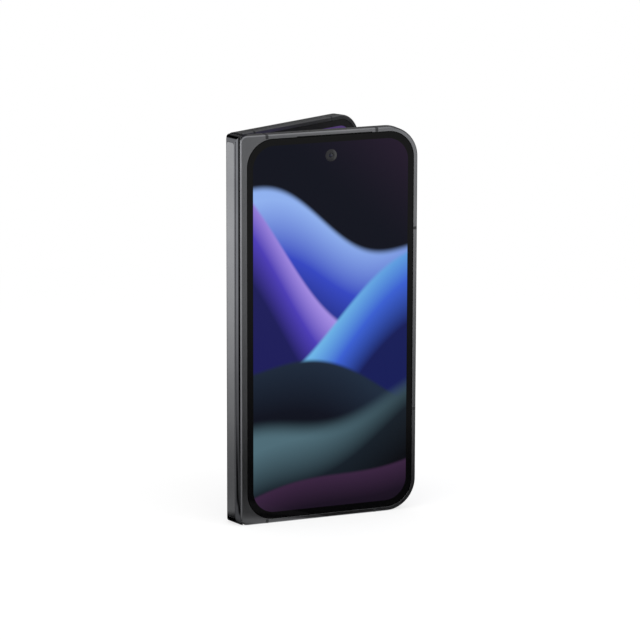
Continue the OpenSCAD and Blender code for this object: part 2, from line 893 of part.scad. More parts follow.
module hinge_blocks() {
    track_len = tongue_len + 0.2;
    color("#83868b") place_spine() for (z = stations) difference() {
        translate([block_x0, -block_side, z - block_len / 2])
            cube([block_x1 - block_x0, axis_gap + 2 * block_side, block_len]);
        for (side = [-1, 1])
            translate([0, side < 0 ? 0 : axis_gap,
                    z + side * (tongue_len + tongue_gap) / 2 - track_len / 2])
                difference() {
                    cylinder(r = tongue_out + track_play, h = track_len);
                    translate([0, 0, -1]) cylinder(r = tongue_in - track_play, h = track_len + 2);
                }
    }
}

// A point of the strip, u from the fold line, lift above the axis, wound about its axis
function ease(w) = w * w * (3 - 2 * w);
function wind(u) = -(half_angle + (90 - half_angle) * ease(max(0, (bend_u - u) / bend_u)));
function turned(x, y, a) = [x * cos(a) - y * sin(a), x * sin(a) + y * cos(a)];
function strip_point(u, lift) = turned(u - axis_u, lift, wind(u));
function far_side(p) = [p[0], axis_gap - p[1]];

module fold_strip() {
    steps = 12;
    row = concat([flat_u], [for (i = [0 : steps]) bend_u * (1 - i / steps)]);
    lift_low = axis_depth - strip_back;
    lift_high = axis_depth - strip_front;
    low = [for (u = row) strip_point(u, lift_low)];
    high = [for (u = row) strip_point(u, lift_high)];
    last = len(row) - 1;
    color("#0d0d10") place_spine() translate([0, 0, strip_z0])
        linear_extrude(body_h - 2 * strip_z0)
            polygon(concat(
                low,
                [for (i = [1 : last]) far_side(low[last - i])],
                [for (i = [0 : last]) far_side(high[i])],
                [for (i = [1 : last]) high[last - i]]
            ));
}

// ---------------------------------------------------------------- the phone

cover_frame();
cover_antenna_breaks();
cover_glass();
cover_display();
front_camera();
earpiece_mesh();
earpiece_receiver();
cover_battery();
cover_board();
cover_board_shields();
vibration_motor();
card_reader();
card_tray();
cover_midplate();
cover_inner_panel();
cover_inner_trim();
cover_hinge_arms();
cover_arm_screws();
camera_frame();
camera_antenna_breaks();
rear_glass();
camera_island();
window_strips();
wide_camera();
ultrawide_camera();
tele_camera();
flash_module();
camera_battery();
main_board();
main_board_shields();
charging_coil();
charging_socket();
loudspeaker();
top_speaker();
power_button();
volume_rocker();
key_switches();
camera_midplate();
camera_inner_panel();
camera_inner_trim();
inner_camera();
camera_hinge_arms();
camera_arm_screws();
spine_cover();
spine_strip();
spine_end_caps();
hinge_blocks();
fold_strip();
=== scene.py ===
"""Looks of a book-style folding phone, standing half opened on its bottom edge.

Each half is worked out in its own plan: U runs from the fold line to the free edge, Z
runs up the phone and V is the depth behind the half's outer face. The spine has its own
frame, whose origin is the cover half's hinge axis. All sizes here are millimetres, and
a mesh is turned to metres when it is made.
"""

import logging
import math
from collections.abc import Callable, Iterable
from dataclasses import dataclass
from enum import Enum

import bmesh
import bpy
import numpy as np
from mathutils import Matrix, Vector


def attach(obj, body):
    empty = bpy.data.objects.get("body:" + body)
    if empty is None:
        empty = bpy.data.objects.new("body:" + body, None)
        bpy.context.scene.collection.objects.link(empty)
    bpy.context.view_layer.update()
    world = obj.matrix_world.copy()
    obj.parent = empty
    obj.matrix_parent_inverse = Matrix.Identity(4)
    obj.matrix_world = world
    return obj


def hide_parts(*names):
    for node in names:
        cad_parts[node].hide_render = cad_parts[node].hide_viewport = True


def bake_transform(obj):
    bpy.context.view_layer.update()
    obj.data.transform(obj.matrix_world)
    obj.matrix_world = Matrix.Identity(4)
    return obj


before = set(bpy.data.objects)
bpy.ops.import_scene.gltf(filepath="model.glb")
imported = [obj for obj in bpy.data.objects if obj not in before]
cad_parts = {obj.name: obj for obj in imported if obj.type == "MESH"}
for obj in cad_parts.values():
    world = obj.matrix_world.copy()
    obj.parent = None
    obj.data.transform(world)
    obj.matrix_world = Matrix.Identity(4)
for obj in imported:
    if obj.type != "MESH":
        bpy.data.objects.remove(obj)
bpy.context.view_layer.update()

# Millimetres to metres
MM = 0.001

# The CAD's measures in millimetres. The halves and their edges
BODY_H = 155.2
HALF_W = 75.1
HALF_T = 5.1
FREE_R = 12.5
HINGE_R = 2.8
RIM_W = 1.7
EDGE_IN = 0.5
CHAMFER = 0.45
# Glass and displays, and the layers of a half from its outer face inwards
MARGIN_W = 2.75
GLASS_STEP = 0.08
GLASS_T = 0.55
LEDGE_T = 0.6
SCREEN_W = 65.2
SCREEN_H = 146.4
SCREEN_R = 9.0
INNER_BORDER = 4.4
INNER_T = 0.45
STACK_GAP = 0.5
PANEL_DOWN = 0.4
PANEL_PLAY = 0.1
TRIM_T = 0.3
# Hinge, spine and the folding strip; the angle is between the halves, in degrees
REST_ANGLE = 27.0
CLOSED_GAP = 0.3
AXIS_DEPTH = 1.0
SPINE_R = 3.35
SPINE_WALL = 0.75
SPINE_END_R = 2.7
SPINE_PLAY = 0.15
CAVITY_PLAY = 0.15
STRIP_U = 4.7
# Keys, tray and sound holes
KEY_W = 1.7
KEY_BACK = 0.1
SLOT_PLAY = 0.12
MESH_IN = 1.5
MESH_W = 0.8
# Play of what sits flush in a pocket
FIT = 0.05

# What follows from them
AXIS_GAP = 2 * AXIS_DEPTH + CLOSED_GAP
AXIS_U = AXIS_GAP / 2
AXIS_V = HALF_T - AXIS_DEPTH
MID_U = (EDGE_IN + HALF_W) / 2
HALF_TURN = math.radians(REST_ANGLE / 2)
CAVITY_R = SPINE_R + CAVITY_PLAY
GLASS_U0 = EDGE_IN + MARGIN_W
GLASS_U1 = HALF_W - RIM_W
GLASS_R = FREE_R - RIM_W
GLASS_BACK = GLASS_STEP + GLASS_T
LEDGE_BACK = GLASS_BACK + LEDGE_T
PANEL_FRONT = HALF_T - PANEL_DOWN - INNER_T
SCREEN_U0 = (GLASS_U0 + GLASS_U1 - SCREEN_W) / 2
SCREEN_Z0 = (BODY_H - SCREEN_H) / 2
KEY_V = (LEDGE_BACK + (PANEL_FRONT - STACK_GAP)) / 2 + KEY_BACK

Pairs = list[tuple[float, float]]
Table = tuple[tuple[float, float], ...]
Colour = tuple[float, float, float, float]
Tree = bpy.types.NodeTree
Socket = bpy.types.NodeSocket

log = logging.getLogger("phone")


# ---------------------------------------------------------------- places


def turned(points: np.ndarray, angle: float | np.ndarray) -> np.ndarray:
    """Turns the first two columns of points about their third axis.

    Args:
        points: Array of points, (..., 3).
        angle: Angle in radians, one for all points or one for each.

    Returns:
        The turned points: x cos a - y sin a, x sin a + y cos a, z.
    """
    c, s = np.cos(angle), np.sin(angle)
    x, y, z = points[..., 0], points[..., 1], points[..., 2]
    return np.stack([x * c - y * s, x * s + y * c, z], -1)


class Home(Enum):
    """The three places that shapes are drawn in, each named for its CAD body."""

    COVER = "cover_half"
    SPINE = "spine"
    CAMERA = "camera_half"

    def place(self, points: np.ndarray) -> np.ndarray:
        """Carries plan points (U, Z, V), or spine points (X, Y, Z), to the model frame.

        Args:
            points: Array of points in millimetres, (..., 3).

        Returns:
            The same points in the model frame, in millimetres.
        """
        if self is Home.COVER:
            u, z, v = points[..., 0], points[..., 1], points[..., 2]
            return np.stack([u - MID_U, v - HALF_T / 2, z], -1)
        if self is Home.CAMERA:
            u, z, v = points[..., 0], points[..., 1], points[..., 2]
            flat = np.stack([u - AXIS_U, AXIS_V - v, z], -1)
            points = turned(flat, HALF_TURN) + np.array([0.0, AXIS_GAP, 0.0])
        axis = np.array([AXIS_U - MID_U, AXIS_V - HALF_T / 2, 0.0])
        return turned(points, HALF_TURN) + axis


# ---------------------------------------------------------------- surfaces


@dataclass
class Skin:
    """A mesh as plain arrays: points in millimetres and faces as lists of indices."""

    points: np.ndarray
    faces: list[list[int]]

    def placed(self, home: Home) -> "Skin":
        """The same skin carried from its plan to the model frame."""
        return Skin(home.place(self.points), self.faces)


def joined(*skins: Skin) -> Skin:
    """Several skins as one, with the indices of each moved past those before it.

    Args:
        *skins: The skins to put together.

    Returns:
        One skin that holds them all.
    """
    points, faces, base = [], [], 0
    for skin in skins:
        points.append(skin.points)
        faces += [[i + base for i in f] for f in skin.faces]
        base += len(skin.points)
    return Skin(np.concatenate(points), faces)


def rounded_loop(
    u0: float,
    z0: float,
    u1: float,
    z1: float,
    left: float,
    right: float,
    arc: int = 14,
    side: int = 6,
) -> np.ndarray:
    """Rounded rectangle as a closed row of points, the same number for every size.

    Each corner is a quarter circle, centre + radius (cos t, sin t), and each side is
    cut into equal lengths.

    Args:
        u0: Low edge across.
        z0: Low edge upwards.
        u1: High edge across.
        z1: High edge upwards.
        left: Radius of both low-U corners.
        right: Radius of both high-U corners.
        arc: Steps in each corner.
        side: Steps in each side.

    Returns:
        Array (n, 2), anticlockwise from the bottom side.
    """
    corners = [
        (u1 - right, z0 + right, right, -90),
        (u1 - right, z1 - right, right, 0),
        (u0 + left, z1 - left, left, 90),
        (u0 + left, z0 + left, left, 180),
    ]
    rows = []
    for cu, cz, r, a0 in corners:
        t = np.radians(a0 + np.linspace(0, 90, arc + 1))
        rows.append(np.stack([cu + r * np.cos(t), cz + r * np.sin(t)], -1))
    out = []
    for here, after in zip(rows, rows[1:] + rows[:1]):
        out.append(here)
        t = np.linspace(0, 1, side + 1)[1:-1, None]
        out.append(here[-1] * (1 - t) + after[0] * t)
    return np.concatenate(out)


def pad(
    cu: float, cz: float, wide: float, tall: float, radius: float, grow: float = 0.0, arc: int = 24
) -> np.ndarray:
    """Rounded rectangle about its middle, moved out by grow.

    Args:
        cu: Middle across.
        cz: Middle upwards.
        wide: Whole width.
        tall: Whole height.
        radius: Radius of all corners.
        grow: How far the line is moved out.
        arc: Steps in each corner.

    Returns:
        Array (n, 2), anticlockwise from the bottom side.
    """
    u, z, r = wide / 2, tall / 2, radius + grow
    return rounded_loop(cu - u - grow, cz - z - grow, cu + u + grow, cz + z + grow, r, r, arc)


def bar(z: float, length: float, grow: float, arc: int = 10) -> np.ndarray:
    """Outline in Z and V of a key or of the tray's door, with round ends, moved out."""
    return pad(z, KEY_V, length, KEY_W, KEY_W / 2 - 0.01, grow, arc)


def circle(cu: float, cz: float, r: float, steps: int = 48) -> np.ndarray:
    """Circle centre + r (cos t, sin t) as a closed row of points (n, 2)."""
    t = np.linspace(0, 2 * math.pi, steps, endpoint=False)
    return np.stack([cu + r * np.cos(t), cz + r * np.sin(t)], -1)


def softened(path: Pairs, radius: float, steps: int = 4, guard: float = 0.04) -> np.ndarray:
    """Rounds the inner corners of an open line with tangent arcs.

    A guard point beside each arc holds the flat next to it flat when shaded.

    Args:
        path: Corner points of the line.
        radius: Radius of the arcs.
        steps: Steps in each arc.
        guard: Distance of the guard points from the arc.

    Returns:
        Array (n, 2) along the softened line.
    """
    pts = [np.array(p, float) for p in path]
    out = [pts[0]]
    for a, b, c in zip(pts, pts[1:], pts[2:]):
        la, lc = np.linalg.norm(a - b), np.linalg.norm(c - b)
        ab, cb = (a - b) / la, (c - b) / lc
        half = math.acos(float(np.clip(ab @ cb, -1, 1))) / 2
        t = min(radius / math.tan(half), 0.42 * la, 0.42 * lc)
        r = t * math.tan(half)
        middle = (ab + cb) / np.linalg.norm(ab + cb)
        centre = b + middle * (r / math.sin(half))
        sweep = math.pi - 2 * half
        side = (b + ab * t - centre) / r
        turn = math.copysign(1, side[0] * cb[1] - side[1] * cb[0])
        angles = np.linspace(0, sweep, steps + 1) * turn
        if t + guard < 0.45 * la:
            out.append(b + ab * (t + guard))
        across = np.array([-side[1], side[0]])
        out += [centre + r * (side * math.cos(x) + across * math.sin(x)) for x in angles]
        if t + guard < 0.45 * lc:
            out.append(b + cb * (t + guard))
    out.append(pts[-1])
    return np.array(out)


def loft(rows: np.ndarray, ring: bool = False, around: bool = True) -> Skin:
    """Skin through rows of points: quads between each row and the next.

    Args:
        rows: Array (rows, points in a row, 3).
        ring: The last row joins the first; otherwise both end rows get a face.
        around: Each row is closed; otherwise the first and last points are edges.

    Returns:
        The skin, with point index = row * points in a row + place in the row.
    """
    n, m = rows.shape[:2]
    i = np.arange(n if ring else n - 1)[:, None]
    j = np.arange(m if around else m - 1)[None, :]
    i2, j2 = (i + 1) % n, (j + 1) % m
    quads = np.stack([i * m + j, i * m + j2, i2 * m + j2, i2 * m + j], -1).reshape(-1, 4)
    faces = quads.tolist()
    if not ring and around:
        faces += [list(range(m))[::-1], list(range((n - 1) * m, n * m))]
    if ring and not around:
        faces += [[k * m for k in range(n)], [k * m + m - 1 for k in range(n)][::-1]]
    return Skin(rows.reshape(-1, 3), faces)


def raised(rows: Iterable, axis: int = 2) -> np.ndarray:
    """Lifts flat rows (n, 2) to levels along a plan axis.

    Args:
        rows: Pairs of flat row and level.
        axis: Plan axis of the levels: 0 is U, 1 is Z, 2 is V.

    Returns:
        Array (rows, n, 3) for loft.
    """
    return np.array([np.insert(flat, axis, float(level), axis=1) for flat, level in rows])


def stack(outline: Callable[[float], np.ndarray], steps: Iterable, axis: int = 2) -> Skin:
    """Closed solid of outlines one behind another.

    Row k is outline(grow k) at level k along the chosen plan axis.

    Args:
        outline: Function from a growth in millimetres to a closed row (n, 2).
        steps: Pairs of growth and level.
        axis: Plan axis of the levels, as in raised.

    Returns:
        The solid, closed by a face at each end.
    """
    return loft(raised(((outline(float(grow)), level) for grow, level in steps), axis))


def lathe(cu: float, cz: float, r: float, steps: Iterable, sides: int = 64, axis: int = 2) -> Skin:
    """Round solid, with radius r + grow at each level.

    Args:
        cu: Middle across.
        cz: Middle upwards.
        r: Radius where grow is nought.
        steps: Pairs of growth and level.
        sides: Points in each circle.
        axis: Plan axis of the levels, as in raised.

    Returns:
        The closed solid.
    """
    return stack(lambda grow: circle(cu, cz, r + grow, sides), steps, axis)


def dome(grow: float, radius: float, level: float, rise: float, count: int = 12) -> Pairs:
    """Steps of a dome, for stack and lathe.

    Args:
        grow: Growth at its rim.
        radius: How far the growth falls to its top.
        level: Level of its rim.
        rise: Height of its top above the rim.
        count: Number of steps.

    Returns:
        Pairs grow - radius (1 - cos a), level + rise sin a, a from 0 to 90 degrees.
    """
    turn = np.linspace(0, math.pi / 2, count)
    return [(grow - radius * (1 - math.cos(a)), level + rise * math.sin(a)) for a in turn]


def box(u0: float, u1: float, z0: float, z1: float, v0: float, v1: float) -> Skin:
    """Plain block between two corners, used to cut slots."""
    low = np.array([[u0, z0], [u1, z0], [u1, z1], [u0, z1]])
    return stack(lambda grow: low, [(0, v0), (0, v1)])


# ---------------------------------------------------------------- finishes


def linear(code: str) -> Colour:
    """Turns an sRGB hex code to a linear colour with alpha 1."""
    raw = [int(code[i : i + 2], 16) / 255 for i in (1, 3, 5)]
    return (*[c / 12.92 if c <= 0.04045 else ((c + 0.055) / 1.055) ** 2.4 for c in raw], 1.0)


# Settings that many nodes share
COLOURS = {"data_type": "RGBA"}
SMOOTH = {"interpolation_type": "SMOOTHSTEP"}
SCALED = {"operation": "MULTIPLY_ADD"}
TIMES = {"operation": "MULTIPLY"}
LESS = {"operation": "SUBTRACT"}
MOST = {"operation": "MAXIMUM"}
LENGTH = {"operation": "LENGTH"}


def add(
    tree: Tree, kind: str, settings: dict | None = None, inputs: dict | None = None
) -> bpy.types.Node:
    """Adds a node, sets its settings and fills its inputs.

    Args:
        tree: Node tree that gets the node.
        kind: Type name of the node after "ShaderNode".
        settings: Values of the node's own properties.
        inputs: Socket name or number to a constant, a node (its first output) or a
            socket.

    Returns:
        The new node.
    """
    node = tree.nodes.new("ShaderNode" + kind)
    for key, value in (settings or {}).items():
        setattr(node, key, value)
    for key, value in (inputs or {}).items():
        socket = node.inputs[key]
        if isinstance(value, bpy.types.Node):
            tree.links.new(value.outputs[0], socket)
        elif isinstance(value, Socket):
            tree.links.new(value, socket)
        else:
            socket.default_value = value
    return node


def blank(name: str) -> tuple[bpy.types.Material, Tree]:
    """Makes a material with an empty node tree, and hands out both."""
    mat = bpy.data.materials.new(name)
    mat.use_nodes = True
    mat.node_tree.nodes.clear()
    return mat, mat.node_tree


class Grain(Enum):
    """How a surface was made, as the stretch of its grain along X, Y and Z."""

    BLASTED = (1.0, 1.0, 1.0)
    DRAWN = (1.0, 1.0, 0.02)
    TURNED = (1.0, 0.05, 1.0)
    MOULDED = (0.6, 0.6, 0.6)
    POLISHED = (0.3, 0.3, 0.3)


@dataclass(frozen=True)
class Finish:
    """A surface: its colours, its shine and the grain that its making left."""

    name: str
    colour: str
    dark: str
    metallic: float
    roughness: float
    grain: Grain
    grain_mm: float
    bump: float
    spread: float = 0.06
    mottle_mm: float = 18.0
    coat: float = 0.0
    sheen: float = 0.0

    def made(self) -> bpy.types.Material:
        """Builds the material once, and hands the same one out after that.

        Noise at the grain's own scale moves the roughness and the bump. A wide, faint
        noise moves the colour between the two given ones.

        Returns:
            The material.
        """
        known = bpy.data.materials.get(self.name)
        if known:
            return known
        mat, tree = blank(self.name)
        place = add(tree, "TexCoord").outputs["Object"]
        scale = [g / (self.grain_mm * MM) for g in self.grain.value]
        laid = add(tree, "Mapping", inputs={"Vector": place, "Scale": scale})
        inputs = {"Vector": laid, "Scale": 1.0, "Detail": 3.0, "Roughness": 0.6}
        fine = add(tree, "TexNoise", inputs=inputs)
        inputs = {"Vector": place, "Scale": 1 / (self.mottle_mm * MM), "Detail": 4.0}
        wide = add(tree, "TexNoise", inputs=inputs)
        share = add(tree, "MapRange", inputs={0: wide.outputs[0], 1: 0.3, 2: 0.7})
        colour = add(tree, "Mix", COLOURS, {0: share, 6: linear(self.dark), 7: linear(self.colour)})
        low, high = max(0.02, self.roughness - self.spread), self.roughness + self.spread
        rough = add(tree, "MapRange", inputs={0: fine.outputs[0], 1: 0.2, 2: 0.8, 3: low, 4: high})
        inputs = {"Strength": 1.0, "Distance": self.bump * MM, "Height": fine.outputs[0]}
        bump = add(tree, "Bump", inputs=inputs)
        inputs = {
            "Base Color": colour.outputs[2],
            "Metallic": self.metallic,
            "Roughness": rough,
            "Normal": bump,
            "Coat Weight": self.coat,
            "Coat Roughness": 0.05,
            "Sheen Weight": self.sheen,
        }
        shader = add(tree, "BsdfPrincipled", inputs=inputs)
        add(tree, "OutputMaterial", inputs={"Surface": shader})
        mat.diffuse_color = linear(self.colour)
        return mat


# Anodised aluminium, bead blasted: a fine dull grain under a dark dye
FRAME_METAL = Finish(
    "Aluminium_anodised_blasted", "#949598", "#8b8c8f", 1.0, 0.3, Grain.BLASTED, 0.12, 0.002
)
# Anodised aluminium, drawn then satin rolled: faint lines along the spine
SPINE_SATIN = Finish(
    "Aluminium_anodised_satin", "#a9aaad", "#9fa0a3", 1.0, 0.2, Grain.DRAWN, 0.1, 0.001, 0.04
)
# Stainless steel, polished and coated black: mirror-like with few marks
SPINE_GLOSS = Finish(
    "Steel_polished_black", "#707175", "#66676b", 1.0, 0.09, Grain.POLISHED, 0.6, 0.0004, 0.03
)
# Injection-moulded polyamide of the antenna breaks: a dull dark line across the metal
BREAK_PLASTIC = Finish(
    "Polyamide_moulded_grey", "#2b2c2e", "#242527", 0.0, 0.42, Grain.MOULDED, 0.15, 0.002
)
# Soft moulded polyurethane of the inner display's trim: matt black
TRIM_PLASTIC = Finish(
    "Polyurethane_moulded_black", "#060607", "#040405", 0.0, 0.4, Grain.MOULDED, 0.1, 0.003,
    sheen=0.05,
)
# Acid-etched glass over black ink: silky, with an even fine haze
REAR_GLASS = Finish(
    "Glass_etched_black", "#1d1e20", "#191a1c", 0.0, 0.34, Grain.BLASTED, 0.06, 0.0008, 0.03, 30.0
)
# Polished glass over black ink, as on the camera windows: a clear dark mirror
WINDOW_GLASS = Finish(
    "Glass_polished_black", "#060607", "#040405", 0.0, 0.05, Grain.POLISHED, 2.0, 0.0002, 0.015
)
# Anodised aluminium of the camera island: blasted finer and darker than the frame
ISLAND_METAL = Finish(
    "Aluminium_island_blasted", "#5c5d60", "#545558", 1.0, 0.36, Grain.BLASTED, 0.1, 0.002
)
# Blackened aluminium of lens barrels, turned: near black, with fine tool marks
BARREL = Finish(
    "Aluminium_turned_black", "#1a1a1c", "#121213", 1.0, 0.33, Grain.TURNED, 0.08, 0.004
)
# Coated lens glass: dark with a violet-blue flare of its own
LENS = Finish(
    "Glass_lens_coated", "#141a3a", "#0a0c1c", 0.35, 0.04, Grain.POLISHED, 1.5, 0.0, 0.01, 2.0,
    coat=1.0,
)
# Dark ink ring printed under the front camera's glass: smooth and just off black
CAMERA_RING = Finish(
    "Ink_ring_dark", "#242427", "#1d1d20", 0.0, 0.16, Grain.POLISHED, 0.6, 0.0002, 0.03
)
# Prismatic plastic over the flash's phosphor: a pale warm spot with fine ribs
FLASH = Finish(
    "Polycarbonate_flash_prism", "#efe6c4", "#d9cb95", 0.0, 0.18, Grain.TURNED, 0.35, 0.02, coat=0.6
)
# Woven acoustic mesh, dyed black: a dull dark ground behind the holes
MESH = Finish("Mesh_woven_black", "#0c0c0d", "#050506", 0.0, 0.6, Grain.MOULDED, 0.12, 0.02)
# Moulded ABS of sounders and modules: grey with a soft shine
SOUNDER = Finish("ABS_moulded_dark", "#3a3c40", "#303236", 0.0, 0.45, Grain.MOULDED, 0.2, 0.004)
# Aluminium-polymer foil of a pouch cell, faintly wrinkled
FOIL = Finish("Foil_pouch_grey", "#8b8f94", "#74787d", 0.7, 0.35, Grain.MOULDED, 2.5, 0.03)
# Solder mask over glass-fibre laminate: deep green under a thin gloss
BOARD = Finish(
    "Laminate_solder_mask", "#1c4a32", "#153b28", 0.0, 0.3, Grain.MOULDED, 0.9, 0.01, coat=0.3
)
# Nickel silver shield cans, pressed: pale with faint lines up the phone
SHIELD = Finish("Nickel_silver_pressed", "#b9bcc0", "#a8abaf", 1.0, 0.3, Grain.DRAWN, 0.3, 0.002)
# Rolled stainless plate: grey with faint lines up the phone
PLATE = Finish("Stainless_rolled", "#9a9ea3", "#8c9095", 1.0, 0.32, Grain.DRAWN, 0.25, 0.002)
# Metal-injected hinge steel, tumbled: an even, finely pitted grey
HINGE_STEEL = Finish("Steel_tumbled", "#8b8e93", "#7c7f84", 1.0, 0.28, Grain.BLASTED, 0.2, 0.003)
# Enamelled copper winding: warm orange-brown with fine lines
COIL = Finish("Copper_enamelled", "#b4703a", "#9a5b2b", 1.0, 0.25, Grain.TURNED, 0.3, 0.02)
# Drawn stainless of the socket's shell and the screws: bright with fine lines
SOCKET = Finish("Stainless_drawn", "#b5b8bc", "#a6a9ad", 1.0, 0.22, Grain.TURNED, 0.2, 0.002)

# The CAD nodes that no piece stands for, by finish
CAD_FINISH: dict[Finish, str] = {
    BREAK_PLASTIC: "cover_antenna_breaks camera_antenna_breaks",
    SOUNDER: "front_camera wide_camera ultrawide_camera tele_camera flash_module"
    " earpiece_receiver loudspeaker top_speaker",
    MESH: "earpiece_mesh",
    FOIL: "cover_battery camera_battery",
    BOARD: "cover_board main_board",
    SHIELD: "cover_board_shields main_board_shields vibration_motor card_reader key_switches",
    PLATE: "cover_midplate camera_midplate",
    HINGE_STEEL: "cover_hinge_arms camera_hinge_arms hinge_blocks",
    SOCKET: "cover_arm_screws camera_arm_screws charging_socket",
    COIL: "charging_coil",
}


@dataclass(frozen=True)
class Ridge:
    """One soft ridge of the screen picture, in shares of the picture's size.

    Its crest is at height level + slope x + swell sin(2 pi (waves x + phase)), and
    below the crest the colour runs from crest over middle to base.
    """

    level: float
    slope: float
    swell: float
    waves: float
    phase: float
    feather: float
    depth: float
    crest: str
    middle: str
    base: str
    tilt: float


@dataclass(frozen=True)
class ScreenFinish:
    """A lit panel under polished glass: ridges of colour inside a black border."""

    name: str
    width: float
    height: float
    corner: float
    ink_gloss: float = 0.27
    lit_gloss: float = 0.13
    ink: Colour = (0.0020, 0.0020, 0.0022, 1.0)
    ridges: tuple[Ridge, ...] = (
        Ridge(0.86, -0.16, 0.045, 0.9, 0.10, 0.012, 0.30, "#8fb0ee", "#3446c0", "#131a55", 0.25),
        Ridge(0.80, -0.42, 0.060, 0.8, 0.35, 0.010, 0.26, "#a991e6", "#4b3cb4", "#1a1a58", -0.30),
        Ridge(0.36, 0.28, 0.050, 0.7, 0.62, 0.010, 0.24, "#6db4e6", "#3a5fd0", "#141b56", 0.35),
        Ridge(0.40, -0.10, 0.050, 0.65, 0.95, 0.008, 0.30, "#1d2a3c", "#0b0f1c", "#05070d", -0.20),
        Ridge(0.20, 0.10, 0.030, 0.8, 0.30, 0.030, 0.25, "#4e6b76", "#141d26", "#07090f", 0.50),
        Ridge(0.03, 0.10, 0.020, 0.7, 0.10, 0.006, 0.15, "#3a2440", "#1a1020", "#0a0810", 0.0),
    )

    def picture(self, tree: Tree, x: Socket, y: Socket) -> Socket:
        """Lays the ridges over a night-blue ground, the farthest first.

        Args:
            tree: Node tree of the material.
            x: Place across the picture, 0 to 1.
            y: Place up the picture, 0 to 1.

        Returns:
            Socket with the colour.
        """
        # A faint violet glow at the top right: smoothstep from 0.3 to 1.1 of 0.6 x + 1.4 y - 1.2
        glow = add(tree, "Math", SCALED, {0: y, 1: 1.4, 2: -1.2})
        glow = add(tree, "Math", SCALED, {0: x, 1: 0.6, 2: glow})
        glow = add(tree, "MapRange", SMOOTH, {0: glow, 1: 0.3, 2: 1.1})
        colour = add(tree, "Mix", COLOURS, {0: glow, 6: linear("#070a18"), 7: linear("#2b1b31")})
        for ridge in self.ridges:
            turn = 2 * math.pi
            swing = add(tree, "Math", SCALED, {0: x, 1: turn * ridge.waves, 2: turn * ridge.phase})
            swing = add(tree, "Math", {"operation": "SINE"}, {0: swing})
            crest = add(tree, "Math", SCALED, {0: x, 1: ridge.slope, 2: ridge.level})
            crest = add(tree, "Math", SCALED, {0: swing, 1: ridge.swell, 2: crest})
            under = add(tree, "Math", LESS, {0: crest, 1: y})
            cover = add(tree, "MapRange", SMOOTH, {0: under, 1: -ridge.feather, 2: ridge.feather})
            tilt = add(tree, "Math", SCALED, {0: x, 1: ridge.tilt, 2: -0.5 * ridge.tilt})
            depth = add(tree, "Math", SCALED, {0: under, 1: 1 / ridge.depth, 2: tilt})
            ramp = add(tree, "ValToRGB", inputs={0: depth})
            stops = ramp.color_ramp.elements
            stops[0].color, stops[1].color = linear(ridge.crest), linear(ridge.base)
            stops.new(0.5).color = linear(ridge.middle)
            colour = add(tree, "Mix", COLOURS, {0: cover, 6: colour.outputs[2], 7: ramp})
        return colour.outputs[2]

    def made(self) -> bpy.types.Material:
        """Builds the screen's material once, from the piece's own UV map.

        The map is in millimetres / 100. The picture glows inside a rounded rectangle,
        and ink is black outside it.

        Returns:
            The material.
        """
        known = bpy.data.materials.get(self.name)
        if known:
            return known
        mat, tree = blank(self.name)
        place = add(tree, "UVMap", {"uv_map": "plan"})
        split = add(tree, "SeparateXYZ", inputs={0: place})
        x = add(tree, "Math", {"operation": "DIVIDE"}, {0: split.outputs[0], 1: self.width / 100})
        y = add(tree, "Math", {"operation": "DIVIDE"}, {0: split.outputs[1], 1: self.height / 100})
        # Distance past the corner's middle: length of max(|place - half| - (half - corner), 0)
        half, corner = (self.width / 200, self.height / 200, 0.0), self.corner / 100
        straight = (half[0] - corner, half[1] - corner, 0.0)
        off = add(tree, "VectorMath", LESS, {0: place, 1: half})
        off = add(tree, "VectorMath", {"operation": "ABSOLUTE"}, {0: off})
        off = add(tree, "VectorMath", LESS, {0: off, 1: straight})
        off = add(tree, "VectorMath", MOST, {0: off, 1: (0.0, 0.0, 0.0)})
        far = add(tree, "VectorMath", LENGTH, {0: off}).outputs["Value"]
        inside = add(tree, "MapRange", inputs={0: far, 1: corner + 0.0004, 2: corner - 0.0004})
        picture = self.picture(tree, x.outputs[0], y.outputs[0])
        glow = add(tree, "Mix", COLOURS, {0: inside, 6: (0.0, 0.0, 0.0, 1.0), 7: picture})
        # Faint smears of use move the roughness, and the lit part is less glossy than the ink
        where = add(tree, "TexCoord").outputs["Object"]
        smear = add(tree, "TexNoise", inputs={"Vector": where, "Scale": 60.0, "Detail": 3.0})
        rough = add(tree, "MapRange", inputs={0: smear.outputs[0], 3: 0.03, 4: 0.07})
        gloss = add(tree, "MapRange", inputs={0: inside, 3: self.ink_gloss, 4: self.lit_gloss})
        inputs = {
            "Base Color": self.ink,
            "Roughness": rough,
            "Emission Color": glow.outputs[2],
            "Emission Strength": 1.0,
            "IOR": 1.5,
            "Specular IOR Level": gloss,
        }
        shader = add(tree, "BsdfPrincipled", inputs=inputs)
        add(tree, "OutputMaterial", inputs={"Surface": shader})
        return mat


INNER_W = 2 * (HALF_W - INNER_BORDER)
INNER_H = BODY_H - 2 * INNER_BORDER
COVER_SCREEN = ScreenFinish("Glass_polished_over_lit_panel", SCREEN_W, SCREEN_H, SCREEN_R)
INNER_SCREEN = ScreenFinish(
    "Film_polished_over_lit_panel",
    INNER_W,
    INNER_H,
    FREE_R - INNER_BORDER,
    ridges=(
        Ridge(1.02, 0.10, 0.040, 0.8, 0.00, 0.012, 0.34, "#57406e", "#30286e", "#12174e", -0.20),
        Ridge(0.86, -0.55, 0.070, 0.7, 0.55, 0.010, 0.30, "#7fb2ec", "#3558cc", "#141c5a", 0.30),
        Ridge(0.30, 0.34, 0.060, 0.8, 0.15, 0.010, 0.26, "#a98fe4", "#4a3ab0", "#17164e", -0.25),
        Ridge(0.42, -0.16, 0.045, 0.9, 0.70, 0.008, 0.30, "#1d2a3c", "#0b0f1c", "#05070d", 0.20),
        Ridge(0.18, 0.08, 0.030, 0.9, 0.35, 0.030, 0.25, "#4e6b76", "#141d26", "#07090f", -0.40),
    ),
)


